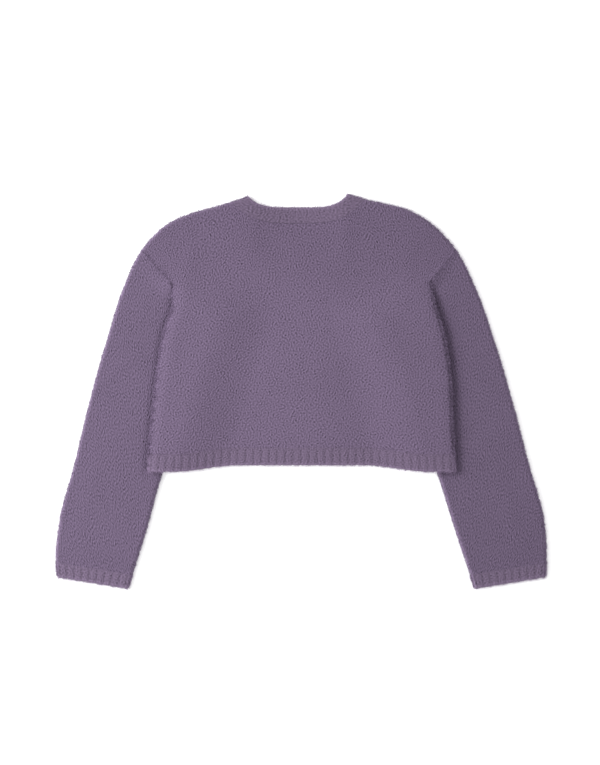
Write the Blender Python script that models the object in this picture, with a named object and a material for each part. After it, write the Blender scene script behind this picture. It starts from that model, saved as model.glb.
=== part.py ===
"""Cropped pullover in thick brushed knit, laid flat on its front.

The garment rests on the plane z = 0 with its back up, the neck towards +Y and the hem
towards -Y. Both sleeves are turned down beside the body, and the side folds of the body
lie over their inner edges. Each piece is a wall of cloth: a grid of points on the middle
of the cloth, pushed out by half the wall on either side. All sizes are in metres.
"""

import math
from collections import namedtuple

import bpy
from mathutils import Vector

# ---------------------------------------------------------------- cloth and layers
# Layers are placed by the middle of their wall; a fold turns from one layer to the next.
WALL = 0.0035
HALF = WALL / 2
AIR = 0.0028
FOLD_R = (WALL + AIR) / 2
SEAM = 0.0003
NECK_SEAM = 0.00045
RIB_DEPTH = 0.0012
SLEEVE_TOP = WALL + 2 * FOLD_R
LAY_GAP = 0.0005
BODY_RISE = SLEEVE_TOP + LAY_GAP
RISE_WIDTH = 0.100
RISE_END = 0.002
FRONT_DROP = 0.035
TIGHT_FOLD_R = 0.0021
ON_FOLD = 0.00005
FOLD_ANGLES = tuple(math.radians(a) for a in (90, 60, 30, 0))
FOLD_GAP_POWER = 8
SLOPE_STEP = 0.0005
SHARP_ANGLE = math.radians(50)

# ---------------------------------------------------------------- bands
HEM_Y = -0.1147
HEM_DIP = 0.0100
HEM_FLAT = 0.095
HEM_SLOPE = 0.105
HEM_SIDE_Y = HEM_Y - HEM_DIP
HEM_BAND = 0.027
HEM_RIBS = 38
CUFF_RIBS = 9
NECK_RIBS_BACK = 17
NECK_RIBS_FRONT = 25
RIB_STEPS = 3
BAND_ROWS = 2

# ---------------------------------------------------------------- neck
NECK_CENTRE = -0.005
NeckLine = namedtuple("NeckLine", "free_y seam_y free_power seam_power")
NECK_BACK = NeckLine(free_y=0.2850, seam_y=0.2602, free_power=4.7, seam_power=3.5)
NECK_FRONT = NeckLine(free_y=0.2280, seam_y=0.2050, free_power=2.3, seam_power=2.3)
NECK_SETTLE = 0.0023
NECK_SETTLE_START = 0.190
NECK_SETTLE_WIDTH = 0.062
NECK_SETTLE_POWER = 6
NECK_SAG = 0.0035
NECK_SAG_START = 0.228
NECK_SAG_WIDTH = 0.045
NECK_END_SHARE = 0.02
# Columns of a panel beside its shoulder fold, in fold radii from the seam's end.
NECK_FOLD_COLUMNS = (0.5, 1.2)

# ---------------------------------------------------------------- outlines, mid-wall
# "out" is the distance from the centre line, the same way on both sides.
LEFT = -1
RIGHT = 1
Point = namedtuple("Point", "out y")
SleeveRow = namedtuple("SleeveRow", "outer_out outer_y inner_out inner_y")

# Neck point, end of the neckband's seam, then along the shoulder to the armhole.
SHOULDER = {
    LEFT: (
        Point(0.0812, 0.3003), Point(0.1069, 0.2918), Point(0.1318, 0.2844),
        Point(0.1689, 0.2743), Point(0.2055, 0.2582), Point(0.2332, 0.2336),
        Point(0.2466, 0.2169),
    ),
    RIGHT: (
        Point(0.0712, 0.3040), Point(0.0975, 0.2959), Point(0.1278, 0.2892),
        Point(0.1600, 0.2810), Point(0.1921, 0.2647), Point(0.2230, 0.2370),
        Point(0.2389, 0.2172),
    ),
}
BAND_END = 1
SHOULDER_POINT = 6

# Armhole, cap, biceps, elbow, forearm, wrist, cuff seam, cuff edge.
SLEEVE = {
    LEFT: (
        SleeveRow(0.2466, 0.2169, 0.1445, 0.1050),
        SleeveRow(0.2692, 0.1714, 0.1520, 0.0800),
        SleeveRow(0.2996, 0.0786, 0.1686, 0.0300),
        SleeveRow(0.3259, -0.0145, 0.1936, -0.0550),
        SleeveRow(0.3502, -0.1150, 0.2235, -0.1450),
        SleeveRow(0.3726, -0.2000, 0.2419, -0.2130),
        SleeveRow(0.3786, -0.2665, 0.2642, -0.2845),
        SleeveRow(0.3764, -0.2883, 0.2709, -0.3061),
    ),
    RIGHT: (
        SleeveRow(0.2389, 0.2172, 0.1445, 0.1050),
        SleeveRow(0.2630, 0.1714, 0.1520, 0.0800),
        SleeveRow(0.2971, 0.0786, 0.1680, 0.0300),
        SleeveRow(0.3250, -0.0145, 0.1900, -0.0550),
        SleeveRow(0.3514, -0.1150, 0.2195, -0.1450),
        SleeveRow(0.3745, -0.2000, 0.2405, -0.2130),
        SleeveRow(0.3784, -0.2665, 0.2642, -0.2845),
        SleeveRow(0.3768, -0.2883, 0.2709, -0.3061),
    ),
}
CUFF_SEAM = 6
CUFF_EDGE = 7
UNDERARM_Y = 0.1050

# Where the body's side fold leaves the armhole seam, as a share of that seam's length,
# and the fold's points from there down to the hem.
FOLD_START = {LEFT: 0.464, RIGHT: 0.430}
SIDE_FOLD = {
    LEFT: (
        Point(0.1975, 0.130), Point(0.2095, 0.095), Point(0.2204, 0.033),
        Point(0.2310, -0.060), Point(0.2367, -0.125),
    ),
    RIGHT: (
        Point(0.2055, 0.130), Point(0.2164, 0.095), Point(0.2272, 0.033),
        Point(0.2320, -0.060), Point(0.2367, -0.125),
    ),
}

# ---------------------------------------------------------------- grid density
BODY_ROWS = 8
YOKE_ROWS_BELOW_FOLD = 3
YOKE_ROWS_ABOVE_FOLD = 4
FOLD_START_STEP = 0.003
FLAP_ROWS = 2
FLAP_TOP_Y = 0.134
FLAP_SETBACK = 0.009
RISE_COLUMNS = 5
OVERLAP_COLUMNS = 3
CENTRE_COLUMNS = 6
SLEEVE_RINGS = 13
SLEEVE_COLUMNS = 5
CURVE_STEPS = 24

KNIT_COLOR = (0.185, 0.137, 0.220, 1.0)
RIB_COLOR = (0.178, 0.131, 0.208, 1.0)
KNIT_ROUGHNESS = 0.95

UPPER = 1
LOWER = -1


def lerp(a, b, share):
    """Value or point a given share of the way from a to b."""
    return a + (b - a) * share


def smoothstep(value):
    """Smooth rise from 0 to 1."""
    value = min(1.0, max(0.0, value))
    return value * value * (3 - 2 * value)


def spline(knots, position):
    """Point on a smooth curve through the knots; position counts in knots."""
    last = len(knots) - 1
    i = min(int(position), last - 1)
    share = position - i
    start, end = knots[i], knots[i + 1]
    span = (end - start).length

    def tangent(index):
        before = knots[max(index - 1, 0)]
        here = knots[index]
        after = knots[min(index + 1, last)]
        length_in = (here - before).length
        length_out = (after - here).length
        if length_in == 0:
            return (after - here) / length_out
        if length_out == 0:
            return (here - before) / length_in
        speed_in = (here - before) / length_in
        speed_out = (after - here) / length_out
        return (speed_in * length_out + speed_out * length_in) / (length_in + length_out)

    s2, s3 = share ** 2, share ** 3
    return (
        start * (2 * s3 - 3 * s2 + 1)
        + tangent(i) * span * (s3 - 2 * s2 + share)
        + end * (3 * s2 - 2 * s3)
        + tangent(i + 1) * span * (s3 - s2)
    )


def sampled(knots, first=0.0):
    """The smooth curve as a polyline, from a first position to its end."""
    last = len(knots) - 1
    count = round((last - first) * CURVE_STEPS)
    return [spline(knots, lerp(first, last, k / count)) for k in range(count + 1)]


def crossing(polyline, y):
    """x where a polyline that runs down the garment crosses a given y."""
    for above, below in zip(polyline, polyline[1:]):
        if below.y <= y <= above.y:
            return lerp(above.x, below.x, (above.y - y) / (above.y - below.y))
    end = polyline[0] if y > polyline[0].y else polyline[-1]
    return end.x


class Side:
    """Fold curves of one side of the garment, in plan."""

    def __init__(self, sign):
        self.sign = sign
        rows = SLEEVE[sign]
        self.outer_knots = [self.plan(p.out, p.y) for p in SHOULDER[sign]]
        self.outer_knots += [self.plan(r.outer_out, r.outer_y) for r in rows[1:]]
        self.inner_knots = [self.plan(r.inner_out, r.inner_y) for r in rows]
        self.shoulder_point = self.outer_knots[SHOULDER_POINT]
        self.underarm = self.inner_knots[0]
        along = (self.underarm - self.shoulder_point).normalized()
        across = Vector((-along.y, along.x))
        self.into_body = across if across.y > 0 else -across
        fold_start = lerp(self.shoulder_point, self.underarm, FOLD_START[sign])
        self.side_knots = [fold_start] + [self.plan(p.out, p.y) for p in SIDE_FOLD[sign]]
        self.outer = sampled(self.outer_knots)
        self.inner = sampled(self.inner_knots)
        self.side = sampled(self.side_knots)

    def plan(self, out, y):
        """Plan point from a distance out of the centre line."""
        return Vector((self.sign * out, y))

    def fold_out(self, y):
        """Distance out of the body's side fold."""
        return self.sign * crossing(self.side, y)

    def sleeve_out(self, y):
        """Distance out of the inner face of the sleeve, below the underarm."""
        return self.sign * crossing(self.inner, y) - HALF

    def cover(self, x, y):
        """How far a body layer is lifted by the sleeve beneath it, 0 to 1."""
        below_armhole = (self.underarm - Vector((x, y))).dot(self.into_body)
        past_edge = self.sign * x - self.sleeve_out(min(y, UNDERARM_Y))
        depth = min(below_armhole, past_edge)
        return smoothstep((depth + RISE_WIDTH + RISE_END) / RISE_WIDTH)


SIDES = {LEFT: Side(LEFT), RIGHT: Side(RIGHT)}


def side_of(x):
    """The side on which an x lies."""
    return SIDES[RIGHT if x > 0 else LEFT]


def back_ramp(y):
    """Share of the full rise that the back layer has at this height of the body."""
    top = SIDES[LEFT].shoulder_point.y
    return smoothstep((top - y) / (top - UNDERARM_Y))


def side_fold_radius(y):
    """Radius of the body's side fold, tighter where it starts beside the armhole."""
    return max(TIGHT_FOLD_R, FOLD_R - BODY_RISE * (1 - back_ramp(y)) / 2)


def front_ramp(y):
    """Share of the full rise that the front layer has: it drops past the underarm."""
    return smoothstep(1 - (y - UNDERARM_Y) / FRONT_DROP)


def neck_sag(x, y):
    """How far the back settles on the front neckband and sinks inside its scoop."""
    off_centre = abs(x - NECK_CENTRE)
    settled = smoothstep((y - NECK_SETTLE_START) / (NECK_SAG_START - NECK_SETTLE_START))
    settled *= math.exp(-((off_centre / NECK_SETTLE_WIDTH) ** NECK_SETTLE_POWER))
    sagged = smoothstep((y - NECK_SAG_START) / (NECK_BACK.free_y - NECK_SAG_START))
    sagged *= math.exp(-((off_centre / NECK_SAG_WIDTH) ** 2))
    return NECK_SETTLE * settled + NECK_SAG * sagged


def back_height(x, y):
    """Middle of the back layer of the body."""
    rise = BODY_RISE * side_of(x).cover(x, y) * back_ramp(y)
    return HALF + 2 * FOLD_R + rise - neck_sag(x, y)


def front_height(x, y):
    """Middle of the front layer of the body, on the table or over a sleeve."""
    return HALF + BODY_RISE * side_of(x).cover(x, y) * front_ramp(y)


def flap_height(x, y):
    """Middle of the part of the front layer that lies over the sleeve's top end."""
    return HALF + BODY_RISE


def sleeve_back_height(x, y):
    """Middle of a sleeve's upper layer."""
    return HALF + 2 * FOLD_R


def sleeve_front_height(x, y):
    """Middle of a sleeve's lower layer."""
    return HALF


def nearest(point, polyline):
    """Distance from a plan point to a polyline, and the way out to it."""
    best = None
    for start, end in zip(polyline, polyline[1:]):
        run = end - start
        share = min(1.0, max(0.0, (point - start).dot(run) / run.length_squared))
        gap = start + run * share - point
        if best is None or gap.length_squared < best[0].length_squared:
            best = (gap, run)
    gap, run = best
    outward = Vector((run.y, -run.x)).normalized()
    return gap.length, gap, outward


def fold_at(point, folds):
    """Angle, radius and outward direction of the fold that a plan point lies on."""
    for polyline, radius_at, outward_sign in folds:
        radius = radius_at(point.y)
        distance, gap, outward = nearest(point, polyline)
        if distance < radius:
            direction = outward * outward_sign
            if distance > ON_FOLD:
                direction = gap.normalized()
            return math.asin(1 - distance / radius), radius, direction
    return 0.0, FOLD_R, Vector((0.0, 0.0))


def plain_radius(y):
    """Radius of every fold but the body's side folds."""
    return FOLD_R


def side_folds(*sides):
    """Body side folds of the sides named, for cloth_point."""
    return [(SIDES[s].side, side_fold_radius, -s) for s in sides]


def outer_folds(*sides):
    """Shoulder and outer sleeve folds of the sides named."""
    return [(SIDES[s].outer, plain_radius, -s) for s in sides]


def inner_folds(*sides):
    """Inner sleeve folds of the sides named."""
    return [(SIDES[s].inner, plain_radius, s) for s in sides]


BODY_FOLDS = outer_folds(LEFT, RIGHT) + side_folds(LEFT, RIGHT)
NECK_FOLDS = outer_folds(LEFT, RIGHT)


def cloth_point(plan, layer, height, folds, fold_gap=0.0):
    """Middle point and outward normal of a layer of cloth above a plan point."""
    angle, radius, outward = fold_at(plan, folds)
    x, y, step = plan.x, plan.y, SLOPE_STEP
    slope_x = (height(x + step, y) - height(x - step, y)) / (2 * step)
    slope_y = (height(x, y + step) - height(x, y - step)) / (2 * step)
    turned = radius * (1 - math.cos(angle)) - fold_gap * math.sin(angle) ** FOLD_GAP_POWER
    z = height(x, y) - layer * turned
    facing = Vector((-slope_x, -slope_y, 1.0)).normalized() * (layer * math.cos(angle))
    normal = facing + outward.to_3d() * math.sin(angle)
    return Vector((x, y, z)), normal.normalized()


class Cloth:
    """A piece of cloth: a mesh on the middle of its wall, made into a closed solid."""

    def __init__(self):
        self.middles = []
        self.normals = []
        self.reliefs = []
        self.quads = []

    def add_point(self, plan, layer, height, folds, fold_gap=0.0, relief=0.0):
        """Add one point of the wall and return its index."""
        middle, normal = cloth_point(plan, layer, height, folds, fold_gap)
        self.middles.append(middle)
        self.normals.append(normal)
        self.reliefs.append(relief)
        return len(self.middles) - 1

    def add_rows(self, rows, ring=False):
        """Add the quads between rows of point indices, closed round if ring is set."""
        for low, high in zip(rows, rows[1:]):
            last = len(low) if ring else len(low) - 1
            for i in range(last):
                j = (i + 1) % len(low)
                self.quads.append((low[i], low[j], high[j], high[i]))

    def outward_quads(self):
        """The quads, each turned so that it faces along its points' normals."""
        turned = []
        for quad in self.quads:
            a, b, c, d = (self.middles[i] for i in quad)
            normal = sum((self.normals[i] for i in quad), Vector((0.0, 0.0, 0.0)))
            faces_out = (c - a).cross(d - b).dot(normal) > 0
            turned.append(quad if faces_out else quad[::-1])
        return turned

    def build(self, name, material):
        """Make the closed solid as an object."""
        count = len(self.middles)
        outer = [
            middle + normal * (HALF - relief)
            for middle, normal, relief in zip(self.middles, self.normals, self.reliefs)
        ]
        inner = [middle - normal * HALF for middle, normal in zip(self.middles, self.normals)]
        faces = []
        edges = set()
        for a, b, c, d in self.outward_quads():
            for triangle in ((a, b, c), (a, c, d)):
                faces.append(triangle)
                faces.append(tuple(i + count for i in reversed(triangle)))
            edges.update(((a, b), (b, c), (c, d), (d, a)))
        for a, b in sorted(edges):
            if (b, a) not in edges:
                faces.append((b, a, a + count))
                faces.append((b, a + count, b + count))
        mesh = bpy.data.meshes.new(name)
        mesh.from_pydata(outer + inner, [], faces)
        mesh.materials.append(material)
        mesh.shade_smooth()
        mesh.set_sharp_from_angle(angle=SHARP_ANGLE)
        piece = bpy.data.objects.new(name, mesh)
        bpy.context.scene.collection.objects.link(piece)
        return piece


# ---------------------------------------------------------------- body grid in plan
def hem_line(x):
    """y of the garment's lower edge."""
    return HEM_Y - HEM_DIP * smoothstep((abs(x) - HEM_FLAT) / HEM_SLOPE)


def fold_offsets(radius):
    """Plan distances from a fold at which its rounding is drawn."""
    return [radius * (1 - math.sin(angle)) for angle in FOLD_ANGLES]


def side_columns(side, y):
    """Distances out of the body's columns on one side, from the fold to the centre."""
    fold = side.fold_out(y)
    edge = side.sleeve_out(y) - RISE_END
    outs = [fold - offset for offset in fold_offsets(side_fold_radius(y))]
    start = outs[-1]
    outs += [lerp(start, edge, k / OVERLAP_COLUMNS) for k in range(1, OVERLAP_COLUMNS + 1)]
    outs += [edge - RISE_WIDTH * k / RISE_COLUMNS for k in range(1, RISE_COLUMNS + 1)]
    foot = outs[-1]
    outs += [lerp(foot, 0.0, k / CENTRE_COLUMNS) for k in range(1, CENTRE_COLUMNS + 1)]
    return outs


OVERLAP_LAST = len(FOLD_ANGLES) - 1 + OVERLAP_COLUMNS
CENTRE = OVERLAP_LAST + RISE_COLUMNS + CENTRE_COLUMNS


def body_columns(y):
    """x of every column of the body at a height y, from the left fold to the right."""
    left = [-out for out in side_columns(SIDES[LEFT], y)]
    right = side_columns(SIDES[RIGHT], y)
    return left + right[-2::-1]


def body_row(share):
    """Plan points of a row of the body, from the hem seam (0) to the underarm (1)."""
    row = []
    for x in body_columns(lerp(HEM_SIDE_Y + HEM_BAND, UNDERARM_Y, share)):
        seam_y = hem_line(x) + HEM_BAND
        row.append(Vector((x, lerp(seam_y, UNDERARM_Y, share))))
    return row


def neck_curve(line, w, seam):
    """Point of the neckline's seam or free edge; w runs from -1, left, to 1, right."""
    side = SIDES[RIGHT if w > 0 else LEFT]
    other = SIDES[LEFT if w > 0 else RIGHT]
    knot = BAND_END if seam else 0
    end, start = side.outer_knots[knot], other.outer_knots[knot]
    power = line.seam_power if seam else line.free_power
    low_y = line.seam_y if seam else line.free_y
    x = lerp((end.x + start.x) / 2, end.x, abs(w))
    return Vector((x, lerp(low_y, end.y, abs(w) ** power)))


def neck_end_speed(line, seam):
    """Length of neckline for each unit of w, beside the shoulder fold."""
    end = neck_curve(line, 1.0, seam)
    before = neck_curve(line, 1.0 - NECK_END_SHARE, seam)
    return (end - before).length / NECK_END_SHARE


def armhole_corner(side):
    """Position of the body's armhole corner on the shoulder fold, and that span's length."""
    last_span = side.outer_knots[SHOULDER_POINT] - side.outer_knots[SHOULDER_POINT - 1]
    return SHOULDER_POINT - SEAM / last_span.length, last_span.length


def neck_shares(line):
    """Positions |w| of a panel's columns along the neck seam, closer at the fold."""
    speed = neck_end_speed(line, seam=True)
    shares = [1.0] + [1 - FOLD_R * radii / speed for radii in NECK_FOLD_COLUMNS]
    rest = CENTRE_COLUMNS - len(shares) + 1
    return shares + [lerp(shares[-1], 0.0, k / rest) for k in range(1, rest + 1)]


def top_edge(line, side, offsets, columns):
    """Plan points of a panel's top edge on one side, from the armhole to the centre.

    The first columns keep the given distances from the armhole, as they do below.
    """
    corner, span = armhole_corner(side)
    points = [spline(side.outer_knots, corner - offset / span) for offset in offsets]
    start = corner - offsets[-1] / span
    shoulder = columns - CENTRE_COLUMNS - len(offsets) + 1
    for k in range(1, shoulder):
        points.append(spline(side.outer_knots, lerp(start, BAND_END, k / shoulder)))
    for share in neck_shares(line):
        points.append(neck_curve(line, side.sign * share, seam=True))
    return points


def coons(bottom, top, left, right, bottom_shares):
    """Plan grid that fills the space between four edges given as points."""
    rows = []
    last = len(left) - 1
    for j in range(last + 1):
        v = v_share(left, j)
        row = []
        for i, u in enumerate(bottom_shares):
            blend = (
                lerp(bottom[i], top[i], v)
                + lerp(left[j], right[j], u)
                - lerp(lerp(bottom[0], bottom[-1], u), lerp(top[0], top[-1], u), v)
            )
            row.append(blend)
        rows.append(row)
    return rows


def v_share(edge, index):
    """Share of an edge's length up to one of its points."""
    lengths = [(b - a).length for a, b in zip(edge, edge[1:])]
    return sum(lengths[:index]) / sum(lengths)


def rolled_top(rows):
    """Replace the top row by rows that follow the rounding of the shoulder fold."""
    below, top = rows[-2], rows[-1]
    rolled = rows[:-1]
    for offset in reversed(fold_offsets(FOLD_R)):
        row = []
        for low, high in zip(below, top):
            row.append(high + (low - high).normalized() * offset)
        rolled.append(row)
    return rolled


def straight(start, end, count):
    """Points from start to end, both included, in equal steps."""
    return [lerp(start, end, k / count) for k in range(count + 1)]


def armhole_edge(side):
    """Upper end of the body's armhole edge and the point where the side fold leaves it."""
    corner, _ = armhole_corner(side)
    fold_start = side.side_knots[0] + side.into_body * SEAM
    return spline(side.outer_knots, corner), fold_start


# ---------------------------------------------------------------- body panels
def add_body_block(cloth, layer, height, folds):
    """Add the rows from the hem seam to the underarm and return their indices."""
    rows = []
    for j in range(BODY_ROWS + 1):
        plan_row = body_row(j / BODY_ROWS)
        rows.append([
            cloth.add_point(plan, layer, height, folds, fold_gap=SEAM / 2)
            for plan in plan_row
        ])
    cloth.add_rows(rows)
    return rows


def add_yoke(cloth, first_row, plan_rows, layer, height, folds):
    """Add rows above an existing row; plan_rows[0] is that row's plan."""
    rows = [first_row]
    for plan_row in plan_rows[1:]:
        rows.append([
            cloth.add_point(plan, layer, height, folds, fold_gap=SEAM / 2)
            for plan in plan_row
        ])
    cloth.add_rows(rows)


def x_shares(row):
    """Share of the way across a row at which each of its points lies."""
    return [(p.x - row[0].x) / (row[-1].x - row[0].x) for p in row]


def build_back_panel(material):
    """Upper layer of the body: back, with its shoulders and side folds rolled down."""
    cloth = Cloth()
    rows = add_body_block(cloth, UPPER, back_height, BODY_FOLDS)
    bottom = body_row(1.0)
    edges = {}
    tops = {}
    for sign, side in SIDES.items():
        corner, fold_start = armhole_edge(side)
        edge = []
        for k in range(YOKE_ROWS_BELOW_FOLD):
            y = lerp(UNDERARM_Y, fold_start.y, k / YOKE_ROWS_BELOW_FOLD)
            edge.append(side.plan(side.fold_out(y), y))
        above = fold_start + (corner - fold_start).normalized() * FOLD_START_STEP
        edge += [fold_start] + straight(above, corner, YOKE_ROWS_ABOVE_FOLD - 1)
        edges[sign] = edge
        tops[sign] = top_edge(NECK_BACK, side, fold_offsets(FOLD_R), CENTRE)
    top = tops[LEFT] + tops[RIGHT][-2::-1]
    plan_rows = coons(bottom, top, edges[LEFT], edges[RIGHT], x_shares(bottom))
    add_yoke(cloth, rows[-1], rolled_top(plan_rows), UPPER, back_height, BODY_FOLDS)
    return cloth.build("back_panel", material)


def build_front_panel(material):
    """Lower layer of the body: on the table in the middle, over the sleeves at the sides."""
    cloth = Cloth()
    rows = add_body_block(cloth, LOWER, front_height, BODY_FOLDS)
    underarm_row = rows[-1]
    bottom = body_row(1.0)
    inner = slice(OVERLAP_LAST, len(bottom) - OVERLAP_LAST)
    count = YOKE_ROWS_BELOW_FOLD + YOKE_ROWS_ABOVE_FOLD
    edges = {}
    tops = {}
    for sign, side in SIDES.items():
        corner, _ = armhole_edge(side)
        start = bottom[OVERLAP_LAST] if sign == LEFT else bottom[-1 - OVERLAP_LAST]
        edges[sign] = straight(start, corner, count)
        tops[sign] = top_edge(NECK_FRONT, side, [0.0], CENTRE - OVERLAP_LAST)
    top = tops[LEFT] + tops[RIGHT][-2::-1]
    plan_rows = coons(bottom[inner], top, edges[LEFT], edges[RIGHT], x_shares(bottom[inner]))
    add_yoke(
        cloth, underarm_row[inner], rolled_top(plan_rows), LOWER, front_height, BODY_FOLDS
    )
    add_flap(cloth, SIDES[LEFT], underarm_row[:OVERLAP_LAST + 1])
    add_flap(cloth, SIDES[RIGHT], underarm_row[:-OVERLAP_LAST - 2:-1])
    return cloth.build("front_panel", material)


def add_flap(cloth, side, first_row):
    """Add the part of the front layer that runs up beside the armhole, over the sleeve."""
    rows = [first_row]
    shoulder, underarm = side.shoulder_point, side.underarm
    for k in range(1, FLAP_ROWS + 1):
        y = lerp(UNDERARM_Y, FLAP_TOP_Y, k / FLAP_ROWS)
        armhole = lerp(underarm, shoulder, (y - underarm.y) / (shoulder.y - underarm.y))
        edge = side.sign * armhole.x + FLAP_SETBACK
        fold = side.fold_out(y)
        outs = [fold - offset for offset in fold_offsets(side_fold_radius(y))]
        start = outs[-1]
        outs += [lerp(start, edge, i / OVERLAP_COLUMNS) for i in range(1, OVERLAP_COLUMNS + 1)]
        rows.append([
            cloth.add_point(side.plan(out, y), LOWER, flap_height, BODY_FOLDS, SEAM / 2)
            for out in outs
        ])
    cloth.add_rows(rows)


# ---------------------------------------------------------------- ribbed bands
def rib_relief(step):
    """Depth below the crest at a step across the ribs: one valley, then a flat crest."""
    return RIB_DEPTH if step % RIB_STEPS == 0 else 0.0


def band_stations(ribs):
    """Stations across a band of ribs: fold roundings at both ends, rib steps between.

    Each is (end, offset index, share, relief): end is -1 or 1 in a fold, else 0.
    """
    rounding = range(len(FOLD_ANGLES) - 1)
    stations = [(-1, k, 0.0, 0.0) for k in rounding]
    steps = ribs * RIB_STEPS
    stations += [(0, 0, k / steps, rib_relief(k)) for k in range(steps + 1)]
    stations += [(1, k, 0.0, 0.0) for k in reversed(rounding)]
    return stations


HEM_STATIONS = band_stations(HEM_RIBS)


def panel_seam_y(x):
    """y of the body panels' lower edge, which runs straight between their columns."""
    for start, end in zip(HEM_SEAM, HEM_SEAM[1:]):
        if x <= end.x:
            break
    return lerp(start.y, end.y, (x - start.x) / (end.x - start.x))


HEM_SEAM = body_row(0.0)


def build_hem(name, layer, height, material):
    """One layer of the hem band, from side fold to side fold."""
    cloth = Cloth()
    rows = []
    for j in range(BAND_ROWS + 1):
        side_y = HEM_SIDE_Y + HEM_BAND * j / BAND_ROWS
        offsets = fold_offsets(side_fold_radius(side_y))
        left_x = -SIDES[LEFT].fold_out(side_y)
        right_x = SIDES[RIGHT].fold_out(side_y)
        row = []
        for end, k, share, relief in HEM_STATIONS:
            x = lerp(left_x + offsets[-1], right_x - offsets[-1], share)
            if end < 0:
                x = left_x + offsets[k]
            elif end > 0:
                x = right_x - offsets[k]
            y = lerp(hem_line(x), panel_seam_y(x) - SEAM, j / BAND_ROWS)
            folds = side_folds(LEFT, RIGHT)
            row.append(cloth.add_point(Vector((x, y)), layer, height, folds, SEAM / 2, relief))
        rows.append(row)
    cloth.add_rows(rows)
    return cloth.build(name, material)


def panel_neck_seam(line, w):
    """Point of a panel's neck edge, which runs straight between its columns."""
    shares = neck_shares(line)
    for high, low in zip(shares, shares[1:]):
        if abs(w) >= low:
            break
    sign = 1 if w > 0 else -1
    start, end = (neck_curve(line, sign * share, seam=True) for share in (high, low))
    return lerp(start, end, (high - abs(w)) / (high - low))


def neck_stations(line, ribs):
    """Positions w and reliefs across one layer of the neckband, without its two folds."""
    end_speed = neck_end_speed(line, seam=False)
    offsets = [offset / end_speed for offset in fold_offsets(FOLD_R)]
    stations = []
    for end, k, share, relief in band_stations(ribs):
        w = lerp(offsets[-1] - 1, 1 - offsets[-1], share)
        if end:
            w = end * (1 - offsets[k])
        stations.append((w, relief))
    return stations[1:-1]


def add_neck_column(cloth, line, layer, height, w, relief):
    """Add the points of the neckband from its free edge to its seam."""
    free = neck_curve(line, w, seam=False)
    seam = panel_neck_seam(line, w)
    seam = seam + (free - seam).normalized() * NECK_SEAM
    return [
        cloth.add_point(lerp(free, seam, j / BAND_ROWS), layer, height, NECK_FOLDS, 0.0, relief)
        for j in range(BAND_ROWS + 1)
    ]


def build_neckband(material):
    """Ribbed ring round the neck: back half on top, front half beneath, folded at the ends."""
    cloth = Cloth()
    columns = [add_neck_column(cloth, NECK_BACK, UPPER, back_height, -1.0, 0.0)]
    for w, relief in neck_stations(NECK_BACK, NECK_RIBS_BACK):
        columns.append(add_neck_column(cloth, NECK_BACK, UPPER, back_height, w, relief))
    columns.append(add_neck_column(cloth, NECK_BACK, UPPER, back_height, 1.0, 0.0))
    for w, relief in reversed(neck_stations(NECK_FRONT, NECK_RIBS_FRONT)):
        columns.append(add_neck_column(cloth, NECK_FRONT, LOWER, front_height, w, relief))
    rows = [[column[j] for column in columns] for j in range(BAND_ROWS + 1)]
    cloth.add_rows(rows, ring=True)
    return cloth.build("neckband", material)


# ---------------------------------------------------------------- sleeves and cuffs
def tube_ring(cloth, side, position, stations):
    """Add one ring of a sleeve or cuff: upper layer outwards in, lower layer back."""
    outer = spline(side.outer_knots, SHOULDER_POINT + position)
    inner = spline(side.inner_knots, position)
    width = (inner - outer).length
    folds = outer_folds(side.sign) + inner_folds(side.sign)
    offsets = fold_offsets(FOLD_R)
    ring = []
    for layer, height in ((UPPER, sleeve_back_height), (LOWER, sleeve_front_height)):
        points = []
        for end, k, share, relief in stations:
            along = lerp(offsets[-1], width - offsets[-1], share)
            if end < 0:
                along = offsets[k]
            elif end > 0:
                along = width - offsets[k]
            points.append((lerp(outer, inner, along / width), relief))
        if layer == LOWER:
            points = points[-2:0:-1]
        ring += [
            cloth.add_point(plan, layer, height, folds, 0.0, relief)
            for plan, relief in points
        ]
    return ring


def build_sleeve(name, side, material):
    """Tapered tube of plain knit from the armhole seam to the cuff seam."""
    cloth = Cloth()
    rounding = range(len(FOLD_ANGLES) - 1)
    stations = [(-1, k, 0.0, 0.0) for k in rounding]
    stations += [(0, 0, k / SLEEVE_COLUMNS, 0.0) for k in range(SLEEVE_COLUMNS + 1)]
    stations += [(1, k, 0.0, 0.0) for k in reversed(rounding)]
    rings = [
        tube_ring(cloth, side, CUFF_SEAM * j / SLEEVE_RINGS, stations)
        for j in range(SLEEVE_RINGS + 1)
    ]
    cloth.add_rows(rings, ring=True)
    return cloth.build(name, material)


def build_cuff(name, side, material):
    """Ribbed tube from the cuff seam to the sleeve's open end."""
    cloth = Cloth()
    stations = band_stations(CUFF_RIBS)
    length = (side.outer_knots[-1] - side.outer_knots[-2]).length
    start = CUFF_SEAM + SEAM / length
    rings = [
        tube_ring(cloth, side, lerp(start, CUFF_EDGE, j / BAND_ROWS), stations)
        for j in range(BAND_ROWS + 1)
    ]
    cloth.add_rows(rings, ring=True)
    return cloth.build(name, material)


def cloth_material(name, color):
    """Matt cloth finish in one colour."""
    material = bpy.data.materials.new(name)
    material.use_nodes = True
    shader = material.node_tree.nodes["Principled BSDF"]
    shader.inputs["Base Color"].default_value = color
    shader.inputs["Roughness"].default_value = KNIT_ROUGHNESS
    shader.inputs["Metallic"].default_value = 0.0
    material.diffuse_color = color
    return material


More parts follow.
